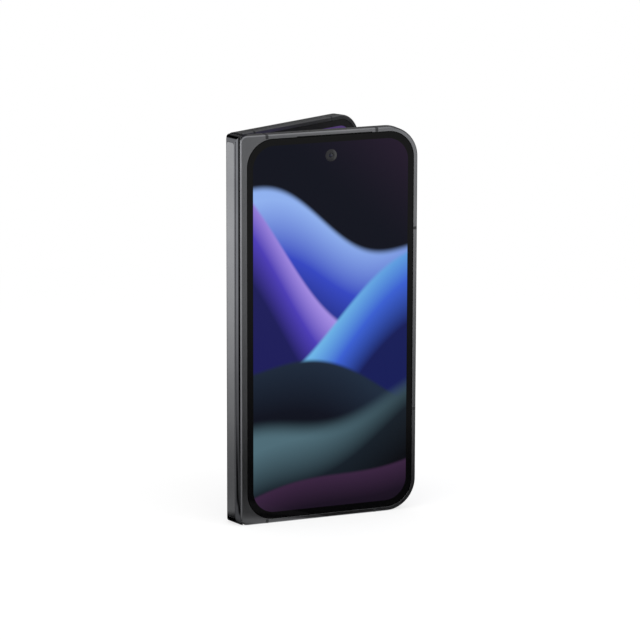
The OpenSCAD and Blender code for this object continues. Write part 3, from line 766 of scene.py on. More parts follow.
# ---------------------------------------------------------------- making pieces


def piece(
    name: str,
    home: Home,
    skin: Skin,
    finish: Finish | ScreenFinish,
    stands_for: tuple[str, ...] = (),
    slot: str = "",
    body: str = "",
    sharp: float = 32.0,
    cutters: Iterable[Skin] = (),
) -> bpy.types.Object:
    """Makes a closed piece from a skin in its home's plan and rides it on its body.

    Args:
        name: Name of the piece.
        home: Place that the skin and the cutters are drawn in.
        skin: Its skin in millimetres, in plan.
        finish: Its finish.
        stands_for: CAD nodes that it stands for.
        slot: Name of a material slot; not used.
        body: CAD body that it rides on, where that isn't its home's.
        sharp: Angle in degrees past which an edge is sharp.
        cutters: Closed skins that are cut out of the piece in one Boolean.

    Returns:
        The object, at the origin, in metres.
    """
    body = body or home.value
    obj = bare(name, skin.placed(home))
    if cutters:
        tool = bare(name + "_cutter", joined(*cutters).placed(home))
        cut = obj.modifiers.new("cut", "BOOLEAN")
        cut.operation, cut.solver, cut.object = "DIFFERENCE", "EXACT", tool
        graph = bpy.context.evaluated_depsgraph_get()
        made = bpy.data.meshes.new_from_object(obj.evaluated_get(graph))
        obj.modifiers.clear()
        obj.data = made
        obj.data.name = name
        bpy.data.objects.remove(tool)
    shade(obj, sharp)
    obj.data.materials.clear()
    obj.data.materials.append(finish.made())
    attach(obj, body)
    if stands_for:
        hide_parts(*stands_for)
    log.info("%s: %d faces on %s", name, len(obj.data.polygons), body)
    return obj


def linked(name: str, skin: Skin) -> bpy.types.Object:
    """Turns a skin to a mesh object as it is, in metres, and links it to the scene."""
    mesh = bpy.data.meshes.new(name)
    mesh.from_pydata((skin.points * MM).tolist(), [], skin.faces)
    obj = bpy.data.objects.new(name, mesh)
    bpy.context.scene.collection.objects.link(obj)
    return obj


def bare(name: str, skin: Skin) -> bpy.types.Object:
    """Turns a skin to an object with merged points and outward faces.

    Args:
        name: Name of the object.
        skin: Its skin in millimetres.

    Returns:
        The object, linked to the scene.
    """
    obj = linked(name, skin)
    work = bmesh.new()
    work.from_mesh(obj.data)
    bmesh.ops.remove_doubles(work, verts=work.verts, dist=1e-7)
    bmesh.ops.dissolve_degenerate(work, edges=work.edges, dist=1e-7)
    bmesh.ops.recalc_face_normals(work, faces=work.faces)
    work.to_mesh(obj.data)
    work.free()
    return obj


def shade(obj: bpy.types.Object, sharp: float) -> None:
    """Shades a mesh smooth, with edges past the angle kept sharp."""
    obj.data.polygons.foreach_set("use_smooth", np.ones(len(obj.data.polygons), bool))
    obj.data.set_sharp_from_angle(angle=math.radians(sharp))


def give_plan(obj: bpy.types.Object, plan: np.ndarray, lit: np.ndarray) -> None:
    """Writes the UV map that the screens read: plan place in millimetres / 100.

    The back and the edges of a panel get a place beyond the picture, so they stay dark.

    Args:
        obj: Object whose mesh gets the map.
        plan: Place of each vertex across and up the picture, (vertices, 2).
        lit: Whether each face shows the picture, (faces,).
    """
    layer = obj.data.uv_layers.new(name="plan")
    corner = np.zeros(len(obj.data.loops), np.int32)
    obj.data.loops.foreach_get("vertex_index", corner)
    sides = np.zeros(len(obj.data.polygons), np.int32)
    obj.data.polygons.foreach_get("loop_total", sides)
    place = np.where(np.repeat(lit, sides)[:, None], plan[corner], -50.0)
    layer.data.foreach_set("uv", (place / 100).astype(np.float32).ravel())


def facing(obj: bpy.types.Object, home: Home, side: int) -> np.ndarray:
    """Whether each face looks along the plan's V axis (side 1) or against it (-1)."""
    normals = np.zeros(len(obj.data.polygons) * 3, np.float32)
    obj.data.polygons.foreach_get("normal", normals)
    way = home.place(np.array([0.0, 0.0, 1.0])) - home.place(np.zeros(3))
    return side * (normals.reshape(-1, 3) @ way) > 0.5


def points_of(obj: bpy.types.Object) -> np.ndarray:
    """Vertex places of a mesh in millimetres, (vertices, 3)."""
    co = np.zeros(len(obj.data.vertices) * 3, np.float32)
    obj.data.vertices.foreach_get("co", co)
    return co.reshape(-1, 3).astype(float) / MM


# ---------------------------------------------------------------- the halves


@dataclass
class Half:
    """What both halves share: frame, screens and the trim round the inner display."""

    home: Home
    prefix: str
    edge_soft: float = 0.07
    arc: int = 24
    break_w: float = 1.2
    top_breaks: tuple[float, ...] = (11.5, 57.5)
    side_breaks: tuple[float, ...] = (41.0, BODY_H - 41.0)
    hole_r: float = 0.5
    hole_pitch: float = 2.5
    # Corners of the rail's section in U and V, up to where the hollow of the hinge begins
    rail: Table = (
        (0.56, 0.5), (1.0, 0.06), (3.19, 0.06), (3.19, 0.64), (5.67, 0.64), (5.67, 1.22),
        (8.0, 1.22), (8.0, 3.5),
    )

    def outer(self, inset: float) -> np.ndarray:
        """Outline of the half, moved in."""
        low, hinge, free = EDGE_IN + inset, HINGE_R - inset, FREE_R - inset
        return rounded_loop(low, inset, HALF_W - inset, BODY_H - inset, hinge, free, self.arc)

    def glass(self, grow: float) -> np.ndarray:
        """Outline of the outer glass, moved out."""
        low, high, r = RIM_W - grow, BODY_H - RIM_W + grow, GLASS_R + grow
        return rounded_loop(GLASS_U0 - grow, low, GLASS_U1 + grow, high, r, r, self.arc)

    def pane(self) -> Skin:
        """Outer glass in plan: a flat sheet with a softened front edge."""
        edge = [(-0.25, GLASS_BACK), (0, GLASS_BACK), (0, GLASS_STEP), (-0.6, GLASS_STEP)]
        return stack(self.glass, softened(edge, 0.18, 5))

    def rim_skin(self) -> Skin:
        """Ring of the frame, lofted through matching outlines.

        Rows run from the floor of the glass pocket over the face, the chamfered side
        and the back, and down the inside to the ledge.

        Returns:
            The closed ring in plan.
        """
        face = [(CHAMFER + 0.25, 0), (CHAMFER, 0), (0, CHAMFER)]
        face += [(0, HALF_T - CHAMFER), (CHAMFER, HALF_T)]
        inside = [(RIM_W - 0.03, HALF_T), (RIM_W, HALF_T - 0.03), (RIM_W, LEDGE_BACK)]
        pocket = [(FIT, GLASS_BACK), (FIT, 0.03), (FIT + 0.03, 0.0), (FIT + 0.1, 0.0)]
        rows = [(self.glass(d), v) for d, v in pocket]
        rows += [(self.outer(d), v) for d, v in softened(face + inside, self.edge_soft)]
        rows += [(self.glass(-1.0), v) for v in (LEDGE_BACK, GLASS_BACK)]
        return loft(raised(rows), ring=True)

    def rail_skin(self) -> Skin:
        """Rail under the hinge edge, a profile in U and V run up the half.

        Its hollow is the arc axis + cavity radius (cos t, sin t) that the spine turns in,
        from the rail's last corner to straight above its first one.

        Returns:
            The closed bar in plan.
        """
        first_u, last_v = self.rail[0][0], self.rail[-1][1]
        t0 = math.asin((last_v - AXIS_V) / CAVITY_R)
        t1 = -math.pi / 2 - math.asin((AXIS_U - first_u) / CAVITY_R)
        t = np.linspace(t0, t1, 28)
        arc = np.stack([AXIS_U + CAVITY_R * np.cos(t), AXIS_V + CAVITY_R * np.sin(t)], -1)
        profile = np.concatenate([np.array(self.rail), arc])
        return stack(lambda grow: profile, [(0, RIM_W - 0.2), (0, BODY_H - RIM_W + 0.2)], axis=1)

    def cutters(self) -> list[Skin]:
        """Tools that both frames are cut with: the hinge hollow and the break bars."""
        h, through = self.break_w / 2, (-1, HALF_T + 1)
        ends = ((-1, RIM_W), (BODY_H - RIM_W, BODY_H + 1))
        bars = [box(u - h, u + h, *end, *through) for u in self.top_breaks for end in ends]
        bars += [box(HALF_W - RIM_W, HALF_W + 1, z - h, z + h, *through) for z in self.side_breaks]
        return [lathe(AXIS_U, AXIS_V, CAVITY_R, [(0, -2), (0, BODY_H + 2)], 160, axis=1), *bars]

    def holes(self, first: float, count: int, z: float) -> list[Skin]:
        """Round sound holes through the rim, one pitch apart.

        Args:
            first: Place of the first hole along U.
            count: Number of holes.
            z: Outer edge of the rim that they go through.

        Returns:
            One cylinder for each hole.
        """
        span = [(0, z - RIM_W - 0.6), (0, z + RIM_W + 0.6)]
        along = [first + k * self.hole_pitch for k in range(count)]
        return [lathe(u, HALF_T / 2, self.hole_r, span, 32, axis=1) for u in along]

    def slot(self, z: float, length: float) -> Skin:
        """Tool for a slot with round ends through the free side, for a key or the tray."""
        outline = bar(z, length, SLOT_PLAY)
        return stack(lambda grow: outline, [(0, HALF_W - RIM_W - 1), (0, HALF_W + 1)], axis=0)

    def build_frame(self, extra: list[Skin]) -> None:
        """Makes the frame's ring and rail.

        Args:
            extra: Tools that only this half is cut with.
        """
        node, tools = (f"{self.prefix}_frame",), [*self.cutters(), *extra]
        for part, skin, cut in (("metal", self.rim_skin(), tools), ("rail", self.rail_skin(), [])):
            name = f"{self.prefix}_frame_{part}"
            piece(name, self.home, skin, FRAME_METAL, node, "frame_metal", cutters=cut)

    def build_mesh(self, name: str, u0: float, u1: float, z0: float) -> None:
        """Makes the mesh behind a row of sound holes.

        Args:
            name: Name of the piece.
            u0: Its low end along U.
            u1: Its high end along U.
            z0: Height of its lower side.
        """
        sheet = rounded_loop(u0, z0, u1, z0 + MESH_W, 0.05, 0.05, 2, 1)
        skin = stack(lambda grow: sheet, [(0, 1.4), (0, 3.7)])
        piece(name, self.home, skin, MESH, slot="mesh_black")

    def three_sides(self, inset: float) -> np.ndarray:
        """Open line along all sides of the half but the hinge side, moved in.

        Args:
            inset: How far the line lies inside the half's outline.

        Returns:
            Array (n, 2): straight, a quarter circle, straight, a quarter circle, straight.
        """
        r, start = max(FREE_R - inset, 0.5), STRIP_U + 0.05
        t = np.radians(np.linspace(-90, 0, self.arc + 1))
        low = np.stack([HALF_W - inset - r + r * np.cos(t), inset + r + r * np.sin(t)], -1)
        high = low[::-1] * np.array([1, -1]) + np.array([0, BODY_H])
        return np.concatenate([[[start, inset]], low, high, [[start, BODY_H - inset]]])

    def build_inner(self) -> None:
        """Makes this half's share of the inner display and the trim round it."""
        low, back = RIM_W + PANEL_PLAY, PANEL_FRONT + INNER_T
        end, high = HALF_W - RIM_W - PANEL_PLAY, BODY_H - RIM_W - PANEL_PLAY
        outline = rounded_loop(STRIP_U, low, end, high, 0.001, GLASS_R, self.arc)
        flat = stack(lambda grow: outline, [(0, PANEL_FRONT), (0, back)])
        name, node = f"{self.prefix}_inner_screen", (f"{self.prefix}_inner_panel",)
        shown = piece(name, self.home, flat, INNER_SCREEN, node, "inner_panel")
        give_plan(shown, self.inner_plan(points_of(shown)), facing(shown, self.home, 1))
        top, foot, far = back + TRIM_T, back - 0.02, INNER_BORDER
        section = softened([(low, foot), (low, top), (far, top), (far, foot)], 0.12)
        trim = loft(raised((self.three_sides(d), v) for d, v in section), ring=True, around=False)
        name, node = f"{self.prefix}_inner_border", (f"{self.prefix}_inner_trim",)
        piece(name, self.home, trim, TRIM_PLASTIC, node, "trim_plastic")

    def inner_plan(self, points: np.ndarray) -> np.ndarray:
        """Place of model points on the unfolded inner picture, its origin at low left.

        Args:
            points: Points in the model frame in millimetres.

        Returns:
            Array (n, 2) in millimetres.
        """
        if self.home is Home.COVER:
            u = points[:, 0] + MID_U
            return np.stack([INNER_W / 2 - u, points[:, 2] - INNER_BORDER], -1)
        axis = np.array([AXIS_U - MID_U, AXIS_V - HALF_T / 2, 0.0])
        spine = turned(points - axis, -HALF_TURN)
        back = turned(spine - np.array([0.0, AXIS_GAP, 0.0]), -HALF_TURN)
        return np.stack([INNER_W / 2 + back[:, 0] + AXIS_U, points[:, 2] - INNER_BORDER], -1)


@dataclass
class CoverHalf(Half):
    """The half with the outer display, the front camera and the card tray."""

    home: Home = Home.COVER
    prefix: str = "cover"
    camera_down: float = 9.7
    camera_r: float = 2.4
    slit: tuple[float, float] = (24.0, 55.6)
    # Sound holes as the place of the first along U and their number
    top_holes: tuple[float, int] = (22.8, 4)
    top_mesh: tuple[float, float] = (21.6, 31.6)
    tray_z: float = 60.0
    tray_len: float = 14.6
    tray_deep: float = 21.0

    def build(self) -> None:
        """Makes every piece of the cover half."""
        top = BODY_H - RIM_W
        listen = box(*self.slit, top - 0.2, top + 0.35, -1, GLASS_BACK - 0.01)
        tray = self.slot(self.tray_z, self.tray_len)
        self.build_frame([listen, *self.holes(*self.top_holes, BODY_H), tray])
        cu, cz = SCREEN_U0 + SCREEN_W / 2, BODY_H - self.camera_down
        bore = lathe(cu, cz, self.camera_r + 0.02, [(0, -1), (0, GLASS_BACK - 0.08)])
        glass = piece(
            "cover_screen",
            self.home,
            self.pane(),
            COVER_SCREEN,
            ("cover_glass", "cover_display"),
            "cover_glass",
            cutters=[bore],
        )
        place = points_of(glass)
        plan = np.stack([place[:, 0] + MID_U - SCREEN_U0, place[:, 2] - SCREEN_Z0], -1)
        give_plan(glass, plan, facing(glass, self.home, -1))
        self.build_camera(cu, cz)
        self.build_tray()
        self.build_inner()
        self.build_mesh("cover_hole_mesh", *self.top_mesh, BODY_H - MESH_IN)

    def build_camera(self, cu: float, cz: float) -> None:
        """Makes the front camera: a dark printed disc round a small domed lens.

        Args:
            cu: Middle of the camera along U.
            cz: Height of its middle.
        """
        floor, face, lens_r = GLASS_BACK - 0.09, GLASS_STEP, 0.8
        inner = lens_r - self.camera_r
        edge = [(0, floor), (0, face + 0.02), (-0.04, face)]
        throat = [(inner + 0.16, face), (inner, face + 0.14), (inner - 0.02, floor)]
        ring = lathe(cu, cz, self.camera_r, edge + throat)
        piece("front_camera_ring", self.home, ring, CAMERA_RING, slot="lens_black")
        front = dome(inner + 0.02, lens_r - 0.02, face + 0.3, -0.2)
        lens = lathe(cu, cz, self.camera_r, [(inner + 0.02, floor), *front])
        piece("front_camera_lens", self.home, lens, LENS, slot="lens_black")

    def build_tray(self) -> None:
        """Makes the card tray: a door with round ends and a thin carrier behind it."""
        node, out = "card_tray", HALF_W - 0.02
        low, high = self.tray_z - self.tray_len / 2, self.tray_z + self.tray_len / 2
        steps = softened([(0, HALF_W - RIM_W + 0.1), (0, out), (-0.4, out)], 0.06)
        door = stack(lambda grow: bar(self.tray_z, self.tray_len, grow), steps, axis=0)
        pin = lathe(low + 1.9, KEY_V, 0.42, [(0, HALF_W - 0.9), (0, HALF_W + 1)], 24, axis=0)
        slot, cut = "frame_metal", [pin]
        piece("tray_door", self.home, door, FRAME_METAL, (node,), slot, node, cutters=cut)
        v0, v1, start = KEY_V - 0.4, KEY_V + 0.4, HALF_W - self.tray_deep
        outer = rounded_loop(start, low + 0.3, HALF_W - RIM_W + 0.12, high - 0.3, 1.0, 0.1, 8)
        inner = rounded_loop(start + 2, low + 1.3, HALF_W - RIM_W - 4, high - 1.3, 0.5, 0.5, 8)
        rows = ((outer, v0), (outer, v1), (inner, v1), (inner, v0))
        carrier = loft(raised(rows), ring=True)
        piece("tray_carrier", self.home, carrier, SHIELD, (node,), slot, node)


@dataclass
class CameraHalf(Half):
    """The half with the rear cameras, the keys and the charging socket."""

    home: Home = Home.CAMERA
    prefix: str = "camera"
    power_z: float = 104.0
    power_len: float = 11.0
    volume_z: float = 80.0
    volume_len: float = 23.0
    key_out: float = 0.45
    socket_u: float = 42.0
    socket_w: float = 8.94
    socket_h: float = 2.56
    # Sound holes as the place of the first along U and their number
    top_holes: tuple[float, int] = (15.6, 7)
    top_mesh: tuple[float, float] = (14.4, 31.8)
    bottom_holes: tuple[float, int] = (48.4, 4)
    bottom_mesh: tuple[float, float] = (47.2, 57.0)
    inner_camera_in: float = 10.5
    inner_camera_r: float = 1.7

    def build(self) -> None:
        """Makes every piece of the camera half."""
        width, height = self.socket_w, self.socket_h
        mouth = pad(self.socket_u, HALF_T / 2, width, height, height / 2 - 0.01, arc=14)
        port = stack(lambda grow: mouth, [(0, -1), (0, RIM_W + 2)], axis=1)
        holes = [*self.holes(*self.top_holes, BODY_H), *self.holes(*self.bottom_holes, 0.0)]
        keys = [self.slot(self.power_z, self.power_len), self.slot(self.volume_z, self.volume_len)]
        self.build_frame([port, *holes, *keys])
        node = "rear_glass"
        piece("camera_rear_glass", self.home, self.pane(), REAR_GLASS, (node,), "rear_glass")
        self.build_key("power_key", self.power_z, self.power_len, "power_button")
        self.build_key("volume_key", self.volume_z, self.volume_len, "volume_rocker")
        self.build_inner()
        self.build_mesh("camera_top_mesh", *self.top_mesh, BODY_H - MESH_IN)
        self.build_mesh("camera_bottom_mesh", *self.bottom_mesh, MESH_IN - MESH_W)
        Island().build()
        self.build_inner_camera()

    def build_key(self, name: str, z: float, length: float, node: str) -> None:
        """Makes one key: a bar with round ends and a softened cap.

        Args:
            name: Name of the piece.
            z: Height of its middle.
            length: Its length.
            node: CAD node and body that it stands for.
        """
        out = HALF_W + self.key_out
        steps = softened([(0, HALF_W - RIM_W - 0.1), (0, out), (-0.7, out)], 0.18, 6)
        key = stack(lambda grow: bar(z, length, grow, 12), steps, axis=0)
        piece(name, self.home, key, FRAME_METAL, (node,), "frame_metal", node)

    def build_inner_camera(self) -> None:
        """Makes the small camera beside the inner display."""
        cu, cz, top = HALF_W - self.inner_camera_in, BODY_H - self.inner_camera_in, HALF_T - 0.2
        node, floor, lens_r = ("inner_camera",), HALF_T - 0.42, self.inner_camera_r / 2
        rim = [(0, floor), (0, top - 0.1), (-0.1, top - 0.06)]
        rim += [(-lens_r + 0.1, top - 0.06), (-lens_r, top - 0.1)]
        ring = lathe(cu, cz, self.inner_camera_r, rim, 48)
        piece("inner_camera_ring", self.home, ring, CAMERA_RING, node, "lens_black")
        front = dome(-lens_r, lens_r, top - 0.09, 0.04, 8)
        lens = lathe(cu, cz, self.inner_camera_r, [(-lens_r, floor), *front], 48)
        piece("inner_camera_lens", self.home, lens, LENS, node, "lens_black")


@dataclass
class Island:
    """The raised camera island: a metal plinth with two glass windows."""

    home: Home = Home.CAMERA
    width: float = 40.0
    height: float = 30.0
    corner: float = 8.0
    out: float = 2.6
    inset: float = 5.6
    window_in: float = 3.0
    window_h: float = 11.0
    row_dz: float = 6.5
    wide_r: float = 4.0
    ultrawide_r: float = 3.7
    tele_r: float = 3.5
    flash_r: float = 2.1
    bore_play: float = 0.02

    def middle(self, row: int) -> tuple[float, float]:
        """Middle in plan of the plinth (row 0), the upper (1) or the lower window (-1)."""
        cu, cz = HALF_W - self.inset - self.width / 2, BODY_H - self.inset - self.height / 2
        return cu, cz + row * self.row_dz

    def outline(self, grow: float) -> np.ndarray:
        """Outline of the plinth, moved out."""
        return pad(*self.middle(0), self.width, self.height, self.corner, grow)

    def window(self, row: int, steps: Iterable) -> Skin:
        """Solid with the outline of one window, a bar with round ends.

        Args:
            row: Its row, as in middle.
            steps: Pairs of growth and level.

        Returns:
            The closed solid in plan.
        """
        width, height = self.width - 2 * self.window_in, self.window_h
        middle, r = self.middle(row), height / 2 - 0.01
        return stack(lambda grow: pad(*middle, width, height, r, grow), steps)

    def build(self) -> None:
        """Makes the plinth, its windows, the three lenses and the flash."""
        top, level = -self.out, -self.out + 0.1
        side = [(-1, LEDGE_BACK), (0, LEDGE_BACK), (0, top + 0.55), (-0.55, top), (-2.2, top)]
        plinth = stack(self.outline, softened(side, 0.22, 6))
        pockets = [self.window(row, [(FIT, top - 1), (FIT, top + 0.62)]) for row in (-1, 1)]
        node, slot = ("camera_island",), "island_metal"
        piece("island_plinth", self.home, plinth, ISLAND_METAL, node, slot, cutters=pockets)
        face = softened([(-0.3, level + 0.5), (0, level + 0.5), (0, level), (-0.8, level)], 0.1)
        far = self.width / 2 - self.window_in - self.window_h / 2
        for row, name, spots in (
            (1, "upper", ((0.0, self.tele_r), (far, self.wide_r))),
            (-1, "lower", ((far, self.ultrawide_r), (0.0, self.flash_r))),
        ):
            cu, cz = self.middle(row)
            bores = [lathe(cu + du, cz, r, [(0, level - 1), (0, level + 0.45)]) for du, r in spots]
            pane, node, slot = self.window(row, face), ("window_strips",), "window_glass"
            title = f"island_window_{name}"
            piece(title, self.home, pane, WINDOW_GLASS, node, slot, cutters=bores)
            for k, (du, r) in enumerate(spots):
                if r == self.flash_r:
                    self.build_flash(cu + du, cz, r, level)
                else:
                    self.build_lens(f"{name}_{k}", cu + du, cz, r, level)

    def build_lens(self, name: str, cu: float, cz: float, r: float, level: float) -> None:
        """Makes one lens: a turned bezel that steps down to a domed front glass.

        Args:
            name: Name of the lens.
            cu: Its middle along U.
            cz: Its height.
            r: Radius of its bore.
            level: Depth of the window's face.
        """
        floor, bezel_w = level + 0.44, 1.05
        bezel = [(0, floor), (0, level + 0.02), (-0.22, level + 0.02), (-0.3, level + 0.1)]
        bezel += [(-0.55, level + 0.12), (-0.6, level + 0.26), (-1.0, level + 0.3)]
        bezel += [(-bezel_w, floor)]
        ring = lathe(cu, cz, r - self.bore_play, bezel, 72)
        piece(f"lens_bezel_{name}", self.home, ring, BARREL, slot="lens_black")
        glass_r = r - bezel_w
        glass = lathe(cu, cz, glass_r, [(0, floor), *dome(0, glass_r, floor - 0.02, -0.2)], 72)
        piece(f"lens_glass_{name}", self.home, glass, LENS, slot="lens_black")

    def build_flash(self, cu: float, cz: float, r: float, level: float) -> None:
        """Makes the flash, a shallow prism disc in its bore.

        Args:
            cu: Its middle along U.
            cz: Its height.
            r: Radius of its bore.
            level: Depth of the window's face.
        """
        steps = [(0, level + 0.44), (0, level + 0.12), (-0.15, level + 0.04), (-1.2, level + 0.02)]
        disc = lathe(cu, cz, r - self.bore_play, steps)
        piece("flash_prism", self.home, disc, FLASH, slot="flash_lens")


# ---------------------------------------------------------------- the spine


@dataclass
class Spine:
    """Hinge spine between the halves, and the folding strip inside it."""

    flat_w: float = 5.6
    strip_w: float = 5.3
    strip_in: float = 2.7
    strip_r: float = 1.2
    strip_depth: float = 0.3
    # Angles in degrees between which each arc is flattened to a facet
    facet: tuple[float, float] = (37.5, 51.0)
    # Place along X where the arcs end, and where the solid end caps do
    open_x: float = -0.8
    cap_x: float = 0.1
    cap_t: float = 1.2
    steady_z: float = 8.0

    @property
    def flat_x(self) -> float:
        """Distance of the flat face from the axes."""
        return math.sqrt(SPINE_R**2 - ((self.flat_w - AXIS_GAP) / 2) ** 2)

    def section(self, less: float, facet: bool) -> np.ndarray:
        """Outer line of the spine's section, from its cover side to its camera side.

        It is an arc about the cover axis, a flat, and an arc about the camera axis. A
        narrow facet is the chord between two angles of each arc.

        Args:
            less: How far the line lies inside the spine's outside.
            facet: Whether the arcs have their facets.

        Returns:
            Array (n, 2) of X and Y.
        """

        def arc(a: np.ndarray) -> np.ndarray:
            """Points -r (cos a, sin a) of the arc about the cover axis."""
            return np.stack([-r * np.cos(a), -r * np.sin(a)], -1)

        def between(a: np.ndarray, b: np.ndarray, count: int) -> np.ndarray:
            """Points a (1 - t) + b t between a and b, without either."""
            t = np.linspace(0, 1, count)[1:-1, None]
            return a * (1 - t) + b * t

        r = SPINE_R - less
        a0, a1 = math.acos((self.flat_x - less) / r), math.acos(-self.open_x / r)
        near = arc(np.linspace(a1, a0, 80))
        if facet:
            low, high = np.radians(self.facet)
            before, after = arc(np.linspace(a1, high, 40)), arc(np.linspace(low, a0, 24))
            near = np.concatenate([before, between(before[-1], after[0], 7), after])
        far = near[::-1] * np.array([1, -1]) + np.array([0, AXIS_GAP])
        return np.concatenate([near, between(near[-1], far[0], 12), far])

    def shell(self) -> Skin:
        """Carries the section up the spine, rounds its ends and closes them.

        Seen from the side the ends are quarter circles: at height h above an end the
        section reaches no farther out than flat - r + sqrt(r^2 - (r - h)^2). The
        inside is hollow between the caps, which are solid up to the inner line.

        Returns:
            The closed skin in the spine's frame.
        """
        outside = self.section(0, True)
        inside = self.section(SPINE_WALL, False)[::-1]
        capped = np.stack([np.full(len(inside), self.cap_x), inside[:, 1]], -1)
        low = SPINE_END_R * (1 - np.cos(np.linspace(0, math.pi / 2, 28)))
        below, above = low[low < self.cap_t], low[low > self.cap_t]
        middle = np.linspace(self.steady_z, BODY_H / 2, 7) - SPINE_PLAY
        heights = np.concatenate([below, [self.cap_t] * 2, above, [SPINE_END_R + 0.1], middle])
        solid = np.arange(len(heights)) <= len(below)
        levels = np.concatenate([heights + SPINE_PLAY, BODY_H - SPINE_PLAY - heights[-2::-1]])
        solid = np.concatenate([solid, solid[-2::-1]])
        h = np.clip(np.minimum(levels - SPINE_PLAY, BODY_H - SPINE_PLAY - levels), 0, SPINE_END_R)
        reach = self.flat_x - SPINE_END_R + np.sqrt(SPINE_END_R**2 - (SPINE_END_R - h) ** 2)
        rows = []
        for level, out, full in zip(levels, reach, solid):
            line = np.stack([np.maximum(outside[:, 0], -out), outside[:, 1]], -1)
            rows.append((np.concatenate([line, capped if full else inside]), level))
        return loft(raised(rows))

    def strip_outline(self, grow: float) -> np.ndarray:
        """Outline of the satin strip in Y and Z, moved out."""
        length = BODY_H - 2 * self.strip_in
        return pad(AXIS_GAP / 2, BODY_H / 2, self.strip_w, length, self.strip_r, grow, 12)

    def build(self) -> None:
        """Makes the spine's cover with its end caps, its satin strip and the fold."""
        face, floor = -self.flat_x, -self.flat_x + self.strip_depth
        recess = stack(lambda grow: self.strip_outline(FIT), [(0, face - 1), (0, floor)], axis=0)
        piece(
            "spine_shell",
            Home.SPINE,
            self.shell(),
            SPINE_GLOSS,
            ("spine_cover", "spine_end_caps"),
            "spine_gloss",
            sharp=20,
            cutters=[recess],
        )
        edge = softened([(0, floor), (0, face), (-0.5, face)], 0.08)
        band = stack(self.strip_outline, edge, axis=0)
        piece("spine_band", Home.SPINE, band, SPINE_SATIN, ("spine_strip",), "spine_satin")
        FoldStrip().build()


@dataclass
class FoldStrip:
    """The bending middle of the inner display, one piece for each hinge axis.

    A point at distance u from the fold line winds about its axis by the share of the
    turn that the blend gives it.
    """

    # Where the blend starts and ends, in X and Y of the spine's frame
    start: tuple[float, float] = (1.45, 0.10)
    end: tuple[float, float] = (0.62, 1.12)
    # Heights of the strip's two faces above the axis
    lifts: tuple[float, float] = (0.3, 0.6)
    bend_u: float = 3.2
    full: float = math.radians(90 - REST_ANGLE / 2)
    columns: int = 72
    rows: int = 9
    share_steps: int = 60
    end_in: float = 2.3

    def share(self, u: np.ndarray, lift: float) -> np.ndarray:
        """Share of the turn for each u, by halving the span that holds it.

        Args:
            u: Distances from the fold line.
            lift: Height of the layer above the axis.

        Returns:
            The share w with w = smoothstep(place of the wound point from start to end).
        """
        start, way = np.array(self.start), np.array(self.end) - np.array(self.start)
        low, high = np.zeros_like(u), np.ones_like(u)
        for _ in range(self.share_steps):
            w = (low + high) / 2
            t = np.clip((self.wound(u, lift, w)[:, :2] - start) @ way / (way @ way), 0, 1)
            above = t * t * (3 - 2 * t) > w
            low, high = np.where(above, w, low), np.where(above, high, w)
        return np.where(high > 1 - 1e-6, 1.0, np.where(low < 1e-6, 0.0, (low + high) / 2))

    def wound(self, u: np.ndarray, lift: float, w: np.ndarray) -> np.ndarray:
        """Points of a layer wound by their shares, in the spine's frame."""
        flat = np.stack([u - AXIS_U, np.full_like(u, lift), np.zeros_like(u)], -1)
        return turned(flat, -(HALF_TURN + self.full * w))

    def build(self) -> None:
        """Makes both pieces, each blended across its own hinge."""
        bend = np.linspace(self.bend_u, 0, self.columns)
        u = np.concatenate([np.linspace(STRIP_U, self.bend_u, 6), bend[1:]])
        below, above = (self.wound(u, lift, self.share(u, lift)) for lift in self.lifts)
        section = np.concatenate([below, above[::-1]])[:, :2]
        along = np.tile(np.concatenate([u, u[::-1]]), self.rows)
        steps = [(0, z) for z in np.linspace(self.end_in, BODY_H - self.end_in, self.rows)]
        for name, side in (("cover", -1), ("camera", 1)):
            # The camera side mirrors Y about the middle between the axes
            way, shift = np.array([1, -side]), np.array([0, AXIS_GAP if side > 0 else 0])
            flat = section * way + shift
            skin = stack(lambda grow: flat, steps).placed(Home.SPINE)
            if side < 0:
                skin.faces = [f[::-1] for f in skin.faces]
            obj = linked(f"fold_strip_{name}", skin)
            mesh = obj.data
            shade(obj, 50)
            mesh.materials.append(INNER_SCREEN.made())
            # Faces of the layer above the axis, between its two ends, show the picture
            column = np.arange(len(mesh.polygons)) % len(section)
            lit = (column >= len(u)) & (column < len(section) - 1)
            lit[-2:] = False
            plan = np.stack([INNER_W / 2 + side * along, skin.points[:, 2] - INNER_BORDER], -1)
            give_plan(obj, plan, lit)
            ends = (np.append(np.array(end) * way + shift, 0.0) for end in (self.start, self.end))
            near, far = (Home.SPINE.place(end) * MM for end in ends)
            if side > 0:
                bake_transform(obj)
            else:
                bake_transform(obj)
            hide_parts("fold_strip")
            log.info("%s: %d faces between two bodies", obj.name, len(mesh.polygons))


# ---------------------------------------------------------------- the studio


